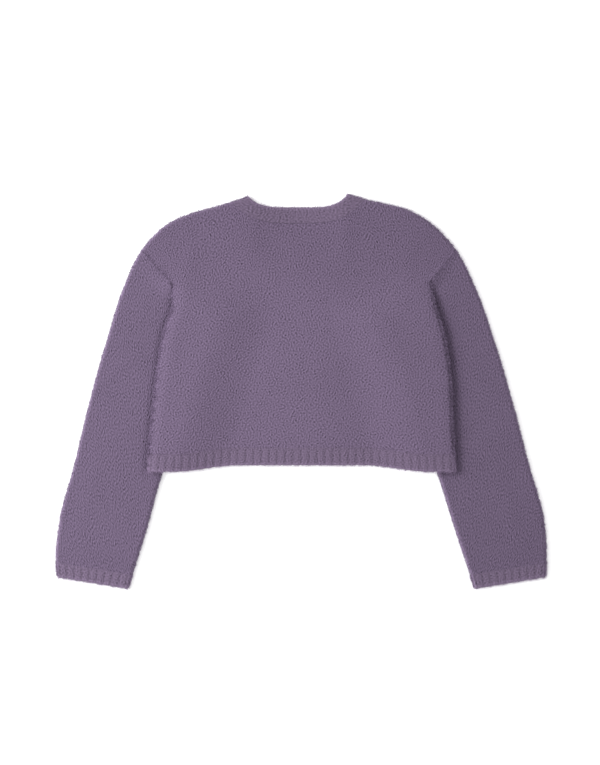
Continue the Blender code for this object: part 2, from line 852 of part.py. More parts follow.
def main():
    """Clear the scene and build every piece of the pullover."""
    for leftover in list(bpy.data.objects):
        bpy.data.objects.remove(leftover, do_unlink=True)
    knit = cloth_material("brushed_knit", KNIT_COLOR)
    rib = cloth_material("ribbed_knit", RIB_COLOR)
    build_back_panel(knit)
    build_front_panel(knit)
    build_hem("hem_rib_back", UPPER, back_height, rib)
    build_hem("hem_rib_front", LOWER, front_height, rib)
    build_neckband(rib)
    for side, word in ((SIDES[LEFT], "left"), (SIDES[RIGHT], "right")):
        build_sleeve(f"sleeve_{word}", side, knit)
        build_cuff(f"cuff_{word}", side, rib)


main()
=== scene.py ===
"""Looks of a cropped pullover in thick brushed knit, laid flat with its back up.

Each solid of the frame is replaced by a finer shell of cloth with the same outline, layers
and folds. A shell starts as a grid of points on the middle of its wall. The points are
pushed out by half the wall and by the relief of the cloth: soft creases, ribs, seam welts
and the curled loops of the knit. Loose fibre ends are brushed out of the shells as pieces
of their own. The plan runs across (x) and up the garment (y); all sizes are in metres.
"""

import logging
import math
from dataclasses import dataclass, field
from enum import Enum
from typing import Callable, NamedTuple, Sequence

import bpy
import numpy as np
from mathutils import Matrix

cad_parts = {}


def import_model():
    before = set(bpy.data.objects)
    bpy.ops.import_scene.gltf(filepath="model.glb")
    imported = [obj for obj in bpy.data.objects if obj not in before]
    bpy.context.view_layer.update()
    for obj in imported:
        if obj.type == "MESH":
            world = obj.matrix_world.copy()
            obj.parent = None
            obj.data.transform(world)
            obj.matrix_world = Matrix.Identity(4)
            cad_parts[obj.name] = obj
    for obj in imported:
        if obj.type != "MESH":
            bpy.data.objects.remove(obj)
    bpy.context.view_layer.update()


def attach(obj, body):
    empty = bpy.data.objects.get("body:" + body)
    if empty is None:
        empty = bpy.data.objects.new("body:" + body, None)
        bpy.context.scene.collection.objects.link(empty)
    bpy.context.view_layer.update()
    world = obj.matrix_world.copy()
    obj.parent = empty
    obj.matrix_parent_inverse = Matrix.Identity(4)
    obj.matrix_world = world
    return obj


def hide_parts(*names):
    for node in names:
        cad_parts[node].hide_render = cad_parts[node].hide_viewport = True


LOG = logging.getLogger("pullover")
BODY = "root"
Array = np.ndarray
Heights = Callable[[Array], Array]
Growth = Callable[[Array, Array], Array]
Object = bpy.types.Object
Tree = bpy.types.NodeTree
Socket = bpy.types.NodeSocket
Color = tuple[float, float, float, float]


class Layer(Enum):
    """Which layer of the flat garment a wall belongs to, by the way it faces."""

    UPPER = 1
    LOWER = -1


class Hand(Enum):
    """Side of the garment, by the sign of x."""

    LEFT = -1
    RIGHT = 1


class Weave(Enum):
    """Kind of knit, by the record's material slot."""

    BRUSHED = "brushed_knit"
    RIBBED = "ribbed_knit"


class Point(NamedTuple):
    """Point of an outline: distance out of the centre line, and y."""

    out: float
    y: float


class SleeveRow(NamedTuple):
    """Outer and inner fold of a sleeve at one place along it."""

    outer_out: float
    outer_y: float
    inner_out: float
    inner_y: float


class NeckLine(NamedTuple):
    """Free edge and seam of one half of the neckband at the centre, and their roundness."""

    free_y: float
    seam_y: float
    free_power: float
    seam_power: float


class Crease(NamedTuple):
    """Soft ridge (depth above 0) or trough (below 0) at a place in the plan."""

    x: float
    y: float
    angle: float
    length: float
    width: float
    depth: float


# Neck point, end of the neckband's seam, then along the shoulder to the armhole.
SHOULDER = {
    Hand.LEFT: (
        Point(0.0812, 0.3003), Point(0.1069, 0.2918), Point(0.1318, 0.2844),
        Point(0.1689, 0.2743), Point(0.2055, 0.2582), Point(0.2332, 0.2336),
        Point(0.2466, 0.2169),
    ),
    Hand.RIGHT: (
        Point(0.0712, 0.3040), Point(0.0975, 0.2959), Point(0.1278, 0.2892),
        Point(0.1600, 0.2810), Point(0.1921, 0.2647), Point(0.2230, 0.2370),
        Point(0.2389, 0.2172),
    ),
}
# Armhole, cap, biceps, elbow, forearm, wrist, cuff seam, cuff edge.
SLEEVE = {
    Hand.LEFT: (
        SleeveRow(0.2466, 0.2169, 0.1445, 0.1050),
        SleeveRow(0.2692, 0.1714, 0.1520, 0.0800),
        SleeveRow(0.2996, 0.0786, 0.1686, 0.0300),
        SleeveRow(0.3259, -0.0145, 0.1936, -0.0550),
        SleeveRow(0.3502, -0.1150, 0.2235, -0.1450),
        SleeveRow(0.3726, -0.2000, 0.2419, -0.2130),
        SleeveRow(0.3786, -0.2665, 0.2642, -0.2845),
        SleeveRow(0.3764, -0.2883, 0.2709, -0.3061),
    ),
    Hand.RIGHT: (
        SleeveRow(0.2389, 0.2172, 0.1445, 0.1050),
        SleeveRow(0.2630, 0.1714, 0.1520, 0.0800),
        SleeveRow(0.2971, 0.0786, 0.1680, 0.0300),
        SleeveRow(0.3250, -0.0145, 0.1900, -0.0550),
        SleeveRow(0.3514, -0.1150, 0.2195, -0.1450),
        SleeveRow(0.3745, -0.2000, 0.2405, -0.2130),
        SleeveRow(0.3784, -0.2665, 0.2642, -0.2845),
        SleeveRow(0.3768, -0.2883, 0.2709, -0.3061),
    ),
}
# Side fold of the body from the armhole seam down to the hem; the first point lies a
# share of the way along that seam.
FOLD_START = {Hand.LEFT: 0.464, Hand.RIGHT: 0.430}
SIDE_FOLD = {
    Hand.LEFT: (
        Point(0.1975, 0.130), Point(0.2095, 0.095), Point(0.2204, 0.033),
        Point(0.2310, -0.060), Point(0.2367, -0.125),
    ),
    Hand.RIGHT: (
        Point(0.2055, 0.130), Point(0.2164, 0.095), Point(0.2272, 0.033),
        Point(0.2320, -0.060), Point(0.2367, -0.125),
    ),
}


def smoothstep(value: Array) -> Array:
    """Smooth rise from 0 to 1."""
    value = np.clip(value, 0.0, 1.0)
    return value * value * (3 - 2 * value)


def lerp(start: Array, end: Array, share: Array) -> Array:
    """Value or point a given share of the way from start to end."""
    return start + (end - start) * share


def between(start: Array, end: Array, count: int) -> Array:
    """Points from start to end, both included, in equal steps."""
    return lerp(start, end, np.linspace(0.0, 1.0, count + 1)[:, None])


def unit(vectors: Array) -> Array:
    """Vectors scaled to a length of 1."""
    return vectors / np.maximum(np.linalg.norm(vectors, axis=-1, keepdims=True), 1e-12)


def spline(knots: Array, positions: Array) -> Array:
    """Points of a smooth curve through knots.

    Args:
        knots: Points that the curve passes, one a row.
        positions: Places on the curve, counted in knots.

    Returns:
        One point for each position.
    """
    steps = np.diff(knots, axis=0)
    spans = np.linalg.norm(steps, axis=1)[:, None]
    speeds = steps / spans
    tangents = np.concatenate([speeds[:1], speeds[:1], speeds[1:]])
    tangents[1:-1] = (speeds[:-1] * spans[1:] + speeds[1:] * spans[:-1]) / (spans[:-1] + spans[1:])
    index = np.clip(positions.astype(int), 0, len(spans) - 1)
    s = (positions - index)[:, None]
    span = spans[index]
    return (
        knots[index] * (2 * s**3 - 3 * s**2 + 1)
        + tangents[index] * span * (s**3 - 2 * s**2 + s)
        + knots[index + 1] * (3 * s**2 - 2 * s**3)
        + tangents[index + 1] * span * (s**3 - s**2)
    )


def nearest(points: Array, line: Array) -> tuple[Array, Array, Array]:
    """Nearest place on a polyline, for many plan points.

    Args:
        points: Plan points, one a row.
        line: Points of the polyline, one a row.

    Returns:
        The distances, the vectors from the points to the line, and the direction of the
        line where it is nearest.
    """
    best = np.full(len(points), np.inf)
    gaps = np.zeros_like(points)
    ways = np.zeros_like(points)
    for start, run in zip(line, np.diff(line, axis=0)):
        share = np.clip((points - start) @ run / (run @ run), 0.0, 1.0)
        gap = start + share[:, None] * run - points
        distance = (gap**2).sum(axis=1)
        closer = distance < best
        best[closer] = distance[closer]
        gaps[closer] = gap[closer]
        ways[closer] = run
    return np.sqrt(best), gaps, unit(ways)


@dataclass(frozen=True)
class Fold:
    """Line in plan along which a layer of cloth turns under or over."""

    line: Array
    radius: Callable[[Array], Array]
    sign: int


@dataclass
class Side:
    """Fold curves of one side of the garment, in plan."""

    hand: Hand
    steps: int = 24
    outer_knots: Array = field(init=False)
    inner_knots: Array = field(init=False)
    outer: Array = field(init=False)
    inner: Array = field(init=False)
    fold: Array = field(init=False)
    shoulder_point: Array = field(init=False)
    underarm: Array = field(init=False)
    into_body: Array = field(init=False)

    def __post_init__(self) -> None:
        """Work the curves out of the outline tables."""
        rows = SLEEVE[self.hand]
        outer = [self.plan(p.out, p.y) for p in SHOULDER[self.hand]]
        self.outer_knots = np.array(outer + [self.plan(r.outer_out, r.outer_y) for r in rows[1:]])
        self.inner_knots = np.array([self.plan(r.inner_out, r.inner_y) for r in rows])
        self.shoulder_point = np.array(outer[-1])
        self.underarm = self.inner_knots[0]
        along = unit(self.underarm - self.shoulder_point)
        across = np.array([-along[1], along[0]])
        self.into_body = across if across[1] > 0 else -across
        start = lerp(self.shoulder_point, self.underarm, FOLD_START[self.hand])
        fold_knots = np.array([start] + [self.plan(p.out, p.y) for p in SIDE_FOLD[self.hand]])
        self.outer = self.sampled(self.outer_knots)
        self.inner = self.sampled(self.inner_knots)
        self.fold = self.sampled(fold_knots)

    def plan(self, out: float, y: float) -> tuple[float, float]:
        """Plan point from a distance out of the centre line."""
        return (self.hand.value * out, y)

    def sampled(self, knots: Array) -> Array:
        """The smooth curve through the knots as a polyline."""
        last = len(knots) - 1
        return spline(knots, np.linspace(0.0, last, last * self.steps + 1))

    def fold_out(self, y: Array) -> Array:
        """Distance out of the body's side fold at a height y."""
        return self.hand.value * np.interp(-y, -self.fold[:, 1], self.fold[:, 0])

    def sleeve_out(self, y: Array) -> Array:
        """Distance out of the sleeve's inner fold at a height y, below the underarm."""
        return self.hand.value * np.interp(-y, -self.inner[:, 1], self.inner[:, 0])


@dataclass
class Form:
    """Sizes of the lying garment, and the height of each of its layers."""

    wall: float = 0.0035
    air: float = 0.0028
    seam: float = 0.00006
    neck_seam: float = 0.00045
    lay_gap: float = 0.0005
    rise_width: float = 0.100
    rise_end: float = 0.002
    front_drop: float = 0.035
    tight_radius: float = 0.0021
    fold_gap_power: int = 8
    slope_step: float = 0.0005
    on_fold: float = 0.00005
    hem_y: float = -0.1147
    hem_dip: float = 0.0100
    hem_flat: float = 0.095
    hem_slope: float = 0.105
    hem_band: float = 0.027
    underarm_y: float = 0.1050
    band_end: int = 1
    shoulder_end: int = 6
    neck_centre: float = -0.005
    neck_back: NeckLine = NeckLine(0.2850, 0.2602, 4.7, 3.5)
    neck_front: NeckLine = NeckLine(0.2280, 0.2050, 2.3, 2.3)
    neck_settle: float = 0.0023
    neck_settle_start: float = 0.190
    neck_settle_width: float = 0.062
    neck_settle_power: int = 6
    neck_sag: float = 0.0035
    neck_sag_start: float = 0.228
    neck_sag_width: float = 0.045
    sides: dict[Hand, Side] = field(default_factory=lambda: {hand: Side(hand) for hand in Hand})

    @property
    def half(self) -> float:
        """Half the wall."""
        return self.wall / 2

    @property
    def fold_radius(self) -> float:
        """Radius of a fold at the middle of the wall."""
        return (self.wall + self.air) / 2

    @property
    def body_rise(self) -> float:
        """How far the body is lifted where it lies over a sleeve."""
        return self.wall + 2 * self.fold_radius + self.lay_gap

    @property
    def hem_side_y(self) -> float:
        """y of the hem's lower edge beside the side folds."""
        return self.hem_y - self.hem_dip

    def hem_line(self, x: Array) -> Array:
        """y of the garment's lower edge."""
        return self.hem_y - self.hem_dip * smoothstep((np.abs(x) - self.hem_flat) / self.hem_slope)

    def cover(self, plan: Array) -> Array:
        """How far a body layer is lifted by the sleeves beneath it.

        Args:
            plan: Plan points, one a row.

        Returns:
            A share of the full rise for each point, 0 to 1.
        """
        lifted = np.zeros(len(plan))
        for side in self.sides.values():
            below = (side.underarm - plan) @ side.into_body
            y = np.minimum(plan[:, 1], self.underarm_y)
            past = side.hand.value * plan[:, 0] - side.sleeve_out(y) + self.half
            depth = np.minimum(below, past) + self.rise_width + self.rise_end
            lifted = np.maximum(lifted, smoothstep(depth / self.rise_width))
        return lifted

    def back_ramp(self, y: Array) -> Array:
        """Share of the full rise that the back layer has at this height of the body."""
        top = self.sides[Hand.LEFT].shoulder_point[1]
        return smoothstep((top - y) / (top - self.underarm_y))

    def front_ramp(self, y: Array) -> Array:
        """Share of the full rise that the front layer has: it drops past the underarm."""
        return smoothstep(1 - (y - self.underarm_y) / self.front_drop)

    def neck_drop(self, plan: Array) -> Array:
        """How far the back settles on the front neckband and sinks inside its scoop.

        Args:
            plan: Plan points, one a row.

        Returns:
            The drop at each point, in metres.
        """
        off = np.abs(plan[:, 0] - self.neck_centre)
        start, end = self.neck_settle_start, self.neck_sag_start
        settled = smoothstep((plan[:, 1] - start) / (end - start))
        settled = settled * np.exp(-((off / self.neck_settle_width) ** self.neck_settle_power))
        sagged = smoothstep((plan[:, 1] - end) / (self.neck_back.free_y - end))
        sagged = sagged * np.exp(-((off / self.neck_sag_width) ** 2))
        return self.neck_settle * settled + self.neck_sag * sagged

    def back_height(self, plan: Array) -> Array:
        """Middle of the back layer of the body."""
        rise = self.body_rise * self.cover(plan) * self.back_ramp(plan[:, 1])
        return self.half + 2 * self.fold_radius + rise - self.neck_drop(plan)

    def front_height(self, plan: Array) -> Array:
        """Middle of the front layer of the body, on the table or over a sleeve."""
        return self.half + self.body_rise * self.cover(plan) * self.front_ramp(plan[:, 1])

    def flap_height(self, plan: Array) -> Array:
        """Middle of the front layer where it lies over the sleeve's top end."""
        return np.full(len(plan), self.half + self.body_rise)

    def sleeve_back_height(self, plan: Array) -> Array:
        """Middle of a sleeve's upper layer."""
        return np.full(len(plan), self.half + 2 * self.fold_radius)

    def sleeve_front_height(self, plan: Array) -> Array:
        """Middle of a sleeve's lower layer."""
        return np.full(len(plan), self.half)

    def plain_radius(self, y: Array) -> Array:
        """Radius of every fold but the body's side folds."""
        return np.full(np.shape(y), self.fold_radius)

    def side_radius(self, y: Array) -> Array:
        """Radius of the body's side fold, tighter where it starts beside the armhole."""
        eased = self.fold_radius - self.body_rise * (1 - self.back_ramp(y)) / 2
        return np.maximum(self.tight_radius, eased)

    def outer_folds(self, *hands: Hand) -> list[Fold]:
        """Shoulder and outer sleeve folds of the sides named."""
        return [Fold(self.sides[h].outer, self.plain_radius, -h.value) for h in hands]

    def inner_folds(self, *hands: Hand) -> list[Fold]:
        """Inner sleeve folds of the sides named."""
        return [Fold(self.sides[h].inner, self.plain_radius, h.value) for h in hands]

    def side_folds(self, *hands: Hand) -> list[Fold]:
        """Body side folds of the sides named."""
        return [Fold(self.sides[h].fold, self.side_radius, -h.value) for h in hands]

    def neck_curve(self, line: NeckLine, w: Array, seam: bool) -> Array:
        """Points of the neckline.

        Args:
            line: The half of the neck, back or front.
            w: Places from -1, the left end, to 1, the right end.
            seam: Whether the seam is meant, and not the free edge.

        Returns:
            One plan point for each place.
        """
        knot = self.band_end if seam else 0
        power = line.seam_power if seam else line.free_power
        low_y = line.seam_y if seam else line.free_y
        left = self.sides[Hand.LEFT].outer_knots[knot]
        right = self.sides[Hand.RIGHT].outer_knots[knot]
        end = np.where((w > 0)[:, None], right, left)
        x = lerp((left[0] + right[0]) / 2, end[:, 0], np.abs(w))
        return np.stack([x, lerp(low_y, end[:, 1], np.abs(w) ** power)], axis=1)


FORM = Form()
EVERY = tuple(Hand)
# The cloth's place and its paleness, painted light and shade included, go to the material as one
# attribute.
MARK = "place_and_paleness"
GRIDS = ("middle", "normal", "places", "spots")

# Steps of a grid to a loop of the knit, the size of a loop, and the sharpest smooth edge.
STEPS_PER_LOOP = 4.0
LOOP_SIZE = 0.0057
SHARP_DEGREES = 70

# Paleness of plain cloth, and the painted light added to it: painted shade in a band's
# grooves, and a painted highlight along its free edge, at the armhole seams and along the
# left side, where the cloth rolls towards the light.
NEUTRAL = 0.5
GROOVE_SHADE = 200.0
EDGE_HIGHLIGHT = 0.22
EDGE_ROWS = 2.6
SEAM_HIGHLIGHT = 0.14
SIDE_HIGHLIGHT = 0.03
SIDE_HIGHLIGHT_WIDTH = 0.008

# How the ribs fade towards a band's seam and round its free edge.
SEAM_FADE = 0.22
EDGE_DEGREES = (30, 60, 90, 120, 150)
EDGE_FADE = (0.85, 0.65, 0.45, 0.35, 0.3, 0.3)
LOWER_RIBS = 0.6

# Armhole seams: half their width, the height of the welt, and how much more nap they have
# where the cloth faces up.
SEAM_WIDTH = 0.003
WELT = 0.0003
SEAM_NAP = 4
SEAM_SLOPE = 2.5
SEAM_START = 1.2

# Side folds of the body: the strip that counts as their edge, the share of the tufts that
# grows on the left one, and how far and over what width the cloth rolls down to them.
SIDE_EDGE = 0.0065
LEFT_TUFTS = 0.35
ROLL = {Hand.LEFT: 0.0027, Hand.RIGHT: 0.0014}
ROLL_WIDTH = 0.020
ROLL_POWER = 2.4

# How soon cloth counts as rounded when it turns away from above, and how much less it
# does when it stands upright; this weights the painted highlight and painted shade on
# rounded cloth.
ROUND_SLOPE = 2.3
ROUND_LOSS = 0.6

# How smooth cloth is pressed, and over what distance the body's edge starts to press.
PRESSED = 0.92
PRESS_SLOPE = 2.5
COVER_EDGE = 0.008

# Primes that spread the random numbers of neighbouring cells.
CELL_PRIMES = (73856093, 19349663)
SEED_PRIME = 7919
MIXERS = ((13, 1274126177), (11, 668265263))
LARGEST = 2147483647


def counted(rows: int, columns: int) -> Array:
    """Places of a grid's points, counted in loops of the knit."""
    return np.stack(np.meshgrid(np.arange(columns), np.arange(rows)), axis=-1) / STEPS_PER_LOOP


def measured(middle: Array, layer: Layer) -> Array:
    """Places of a grid's points in loops, by the lengths of its rows and columns.

    Args:
        middle: The points, rows by columns by 3.
        layer: Upper or lower layer; a row of the lower one is measured backwards.

    Returns:
        Two places for each point, along the row from its middle and up the column.
    """
    lengths = []
    for axis in (1, 0):
        steps = np.linalg.norm(np.diff(middle, axis=axis), axis=2)
        runs = np.cumsum(steps, axis=axis)
        start = np.zeros_like(np.take(runs, [0], axis=axis))
        lengths.append(np.concatenate([start, runs], axis=axis))
    across, up = lengths
    across -= across[:, across.shape[1] // 2, None]
    return np.stack([across * layer.value, up], axis=-1) / LOOP_SIZE


@dataclass
class Wall:
    """Grid of points on the middle of a wall of cloth, with the directions out of it.

    The places of the points are counted in loops, four steps to a loop, along the row and
    up the column. The spots are places too, but by lengths on the cloth.
    """

    middle: Array
    normal: Array
    places: Array
    spots: Array

    @staticmethod
    def lay(
        plan: Array,
        layer: Layer,
        height: Heights,
        folds: list[Fold],
        gap: float = 0.0,
        places: Array | None = None,
    ) -> "Wall":
        """Lay a plan grid at its height and turn it down or up at the folds.

        Args:
            plan: Grid of plan points, rows by columns by 2.
            layer: Upper or lower layer.
            height: Height of the middle of the layer in plan.
            folds: Folds that bound the layer.
            gap: How far the layer's edge stays from the middle of a fold.
            places: Places of the points counted in loops, if not four steps to a loop.

        Returns:
            The wall.
        """
        points = plan.reshape(-1, 2)
        sine = np.zeros(len(points))
        outward = np.zeros((len(points), 2))
        turned = np.zeros(len(points))
        for fold in folds:
            radius = fold.radius(points[:, 1])
            distance, gaps, ways = nearest(points, fold.line)
            near = (distance < radius) & (sine == 0.0)
            aside = np.stack([ways[:, 1], -ways[:, 0]], axis=1) * fold.sign
            way = np.where((distance > FORM.on_fold)[:, None], unit(gaps), aside)
            sine[near] = (1 - distance / radius)[near]
            outward[near] = way[near]
            cosine = np.sqrt(1 - sine**2)
            turned[near] = (radius * (1 - cosine) - gap * sine**FORM.fold_gap_power)[near]
        step = FORM.slope_step
        slopes = []
        for shift in ((step, 0.0), (0.0, step)):
            slopes.append((height(points + shift) - height(points - shift)) / (2 * step))
        z = height(points) - layer.value * turned
        facing = unit(np.stack([-slopes[0], -slopes[1], np.ones(len(z))], axis=1))
        normal = facing * (layer.value * np.sqrt(1 - sine**2))[:, None]
        normal[:, :2] += outward * sine[:, None]
        shape = plan.shape[:2] + (3,)
        middle = np.concatenate([points, z[:, None]], axis=1).reshape(shape)
        places = counted(*plan.shape[:2]) if places is None else places
        return Wall(middle, unit(normal).reshape(shape), places, measured(middle, layer))


def joined(first: Wall, second: Wall) -> Wall:
    """Two walls side by side as one."""
    pairs = ([getattr(first, name), getattr(second, name)] for name in GRIDS)
    return Wall(*(np.concatenate(pair, axis=1) for pair in pairs))


def turned_over(points: Array, quads: Array, normals: Array) -> bool:
    """Whether most quads face against the normals, of which each quad has one."""
    a, b, c, d = (points[quads[:, k]] for k in range(4))
    return bool(((np.cross(c - a, d - b) * normals).sum(axis=1) > 0).mean() < 0.5)


@dataclass
class Cloth:
    """Middle of a piece of cloth, put together from walls."""

    middle: Array = field(default_factory=lambda: np.zeros((0, 3)))
    normal: Array = field(default_factory=lambda: np.zeros((0, 3)))
    places: Array = field(default_factory=lambda: np.zeros((0, 2)))
    spots: Array = field(default_factory=lambda: np.zeros((0, 2)))
    quads: Array = field(default_factory=lambda: np.zeros((0, 4), int))

    def add(self, wall: Wall, below: Array | None = None, ring: bool = False) -> Array:
        """Add the points and quads of a wall.

        Args:
            wall: The wall.
            below: Numbers of the points already there that its first row is sewn to.
            ring: Whether its last column meets its first.

        Returns:
            The numbers of its points, as a grid.
        """
        rows, columns = wall.middle.shape[:2]
        index = len(self.middle) + np.arange(rows * columns).reshape(rows, columns)
        for name in GRIDS:
            mine, added = getattr(self, name), getattr(wall, name)
            setattr(self, name, np.concatenate([mine, added.reshape(-1, mine.shape[1])]))
        sewn = index if below is None else np.concatenate([below[None], index])
        quads = grid_quads(sewn, ring)
        if turned_over(self.middle, quads, self.normal[quads[:, 2]]):
            quads = quads[:, ::-1]
        self.quads = np.concatenate([self.quads, quads])
        return index


def grid_quads(index: Array, ring: bool = False) -> Array:
    """Quads between the rows and columns of a grid of point numbers.

    Args:
        index: The point numbers.
        ring: Whether the last column meets the first.

    Returns:
        The quads, four numbers a row.
    """
    if ring:
        index = np.concatenate([index, index[:, :1]], axis=1)
    corners = (index[:-1, :-1], index[:-1, 1:], index[1:, 1:], index[1:, :-1])
    return np.stack([corner.ravel() for corner in corners], axis=1)


def scatter(cells: Array, seed: int) -> Array:
    """Random number for each cell of a grid, the same on every run.

    Args:
        cells: Whole numbers of the cells, two a row.
        seed: Number that sets one draw apart from another.

    Returns:
        A number from 0 to 1 for each cell.
    """
    mixed = cells @ np.array(CELL_PRIMES) + seed * SEED_PRIME
    for shift, factor in MIXERS:
        mixed = (mixed ^ (mixed >> shift)) * factor % LARGEST
    return mixed / LARGEST


@dataclass(frozen=True)
class Loops:
    """Curled loops of yarn that cover the knit, as short waves that run every way."""

    depth: float
    seed: int = 3
    shortest: float = 0.78
    longest: float = 1.2
    waves: int = 28

    def heights(self, places: Array) -> Array:
        """Height of the cloth, as a share of the depth of its loops.

        Args:
            places: Places counted in loops, two numbers a row.

        Returns:
            A height for each place: 1 on a crest, -1 between loops.
        """
        rng = np.random.default_rng(self.seed)
        total = np.zeros(len(places))
        for _ in range(self.waves):
            angle, phase = rng.uniform(0.0, math.tau, 2)
            length = rng.uniform(self.shortest, self.longest)
            along = places @ (math.cos(angle), math.sin(angle))
            total += np.sin(math.tau / length * along + phase)
        return np.clip(total / math.sqrt(2 * self.waves), -1.0, 1.0)


def rounded(normals: Array) -> Array:
    """Share, 0 to 1, to which cloth turns away from above, over a fold or an edge."""
    turned = 1 - np.abs(normals[:, 2])
    return smoothstep(ROUND_SLOPE * turned) * (1 - ROUND_LOSS * turned)


def crease_relief(points: Array, creases: Sequence[Crease]) -> Array:
    """Relief of all the creases.

    Args:
        points: Points of the cloth, one a row.
        creases: The creases.

    Returns:
        Their height together at each point, in metres.
    """
    relief = np.zeros(len(points))
    for crease in creases:
        angle = math.radians(crease.angle)
        along = (math.cos(angle), math.sin(angle))
        offset = points[:, :2] - (crease.x, crease.y)
        u = (offset @ along) / crease.length
        v = (offset @ (-along[1], along[0])) / crease.width
        relief += crease.depth * np.exp(-(u**2) - v**2)
    return relief


@dataclass(frozen=True)
class Shell:
    """Points and faces of a finished piece of cloth.

    The places are spots on the cloth in loops, by length. Nap grows on the brushed quads.
    """

    points: Array
    normals: Array
    faces: list[Sequence[int]]
    places: Array
    paleness: Array
    brushed: Array

    def make(self, name: str, finish: "KnitFinish") -> Object:
        """Make the piece as an object in its finish.

        Args:
            name: Name of the object.
            finish: Finish of the cloth.

        Returns:
            The object.
        """
        mesh = bpy.data.meshes.new(name)
        mesh.from_pydata(self.points.tolist(), [], self.faces)
        mesh.shade_smooth()
        mesh.set_sharp_from_angle(angle=math.radians(SHARP_DEGREES))
        mark = mesh.attributes.new(MARK, "FLOAT_VECTOR", "POINT")
        marks = np.concatenate([self.places, self.paleness[:, None]], axis=1)
        mark.data.foreach_set("vector", marks.astype(np.float32).ravel())
        mesh.materials.append(finish.material())
        piece = bpy.data.objects.new(name, mesh)
        bpy.context.scene.collection.objects.link(piece)
        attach(piece, BODY)
        return piece


@dataclass(frozen=True)
class Relief:
    """What stands out of a piece of cloth."""

    loops: Loops
    creases: Sequence[Crease] = ()
    lifts: Sequence[Crease] = ()
    pressed: Callable[[Array, Array], Array] | None = None
    softened: float = 0.25
    # Paleness on the crests: the yarn's grain, with painted shade between the loops.
    crest_share: float = 0.10
    # Painted highlight on the rounded edges, for light that comes through the fuzz.
    rim_highlight: float = 0.72
    floor: float = 0.0003

    def raise_points(
        self, middle: Array, normal: Array, places: Array, extra: Array
    ) -> tuple[Array, Array]:
        """Push points out of the middle of the wall.

        Args:
            middle: Middle points, one a row.
            normal: Directions out of the cloth.
            places: Their places, counted in loops.
            extra: Relief of ribs, rolls and welts at each point.

        Returns:
            The raised points, and how pale the cloth is at each: paler on the crests, the
            yarn's grain with painted shade between the loops, and a painted highlight on
            the rounded edges, for light that comes through the fuzz.
        """
        crests = self.loops.heights(places)
        softened = self.softened + (1 - self.softened) * normal[:, 2] ** 2
        relief = crests * self.loops.depth * softened
        relief += crease_relief(middle, self.creases) * np.clip(normal[:, 2], 0.0, 1.0)
        if self.pressed is not None:
            relief *= 1 - self.pressed(middle, normal)
        raised = self.lifted(middle) + normal * (FORM.half + relief + extra)[:, None]
        raised[:, 2] = np.maximum(raised[:, 2], self.floor)
        return raised, NEUTRAL + self.crest_share * crests + self.rim_highlight * rounded(normal)

    def lifted(self, middle: Array) -> Array:
        """Middle points where the whole wall bulges up off the layer beneath."""
        return middle + crease_relief(middle, self.lifts)[:, None] * (0.0, 0.0, 1.0)

    def inner_points(self, middle: Array, normal: Array) -> Array:
        """Points on the plain inner face of the wall.

        Args:
            middle: Middle points, one a row.
            normal: Directions out of the cloth.

        Returns:
            One point for each middle point.
        """
        inner = self.lifted(middle) - normal * FORM.half
        inner[:, 2] = np.maximum(inner[:, 2], self.floor)
        return inner


def panel_shell(cloth: Cloth, relief: Relief, extra: Array, paler: float | Array = 0.0) -> Shell:
    """Outer face of a piece of cloth, with its edges turned in by the wall's thickness.

    Args:
        cloth: Middle of the cloth.
        relief: What stands out of it.
        extra: Relief of rolls and welts at each point.
        paler: How much paler than usual the cloth is at each point.

    Returns:
        The shell.
    """
    raised, paleness = relief.raise_points(cloth.middle, cloth.normal, cloth.places, extra)
    paleness = paleness + paler
    edges = np.concatenate([cloth.quads[:, [k, (k + 1) % 4]] for k in range(4)])
    low, high = edges.min(axis=1), edges.max(axis=1)
    _, first, uses = np.unique(low * len(raised) + high, return_index=True, return_counts=True)
    border = edges[first[uses == 1]]
    rim = np.unique(border)
    inner = np.full(len(raised), -1)
    inner[rim] = len(raised) + np.arange(len(rim))
    a, b = border[:, 0], border[:, 1]
    turned = np.stack([b, a, inner[a], inner[b]], axis=1)
    return Shell(
        np.concatenate([raised, relief.inner_points(cloth.middle[rim], cloth.normal[rim])]),
        np.concatenate([cloth.normal, cloth.normal[rim]]),
        np.concatenate([cloth.quads, turned]).tolist(),
        np.concatenate([cloth.spots, cloth.spots[rim]]),
        np.concatenate([paleness, paleness[rim]]),
        cloth.quads,
    )


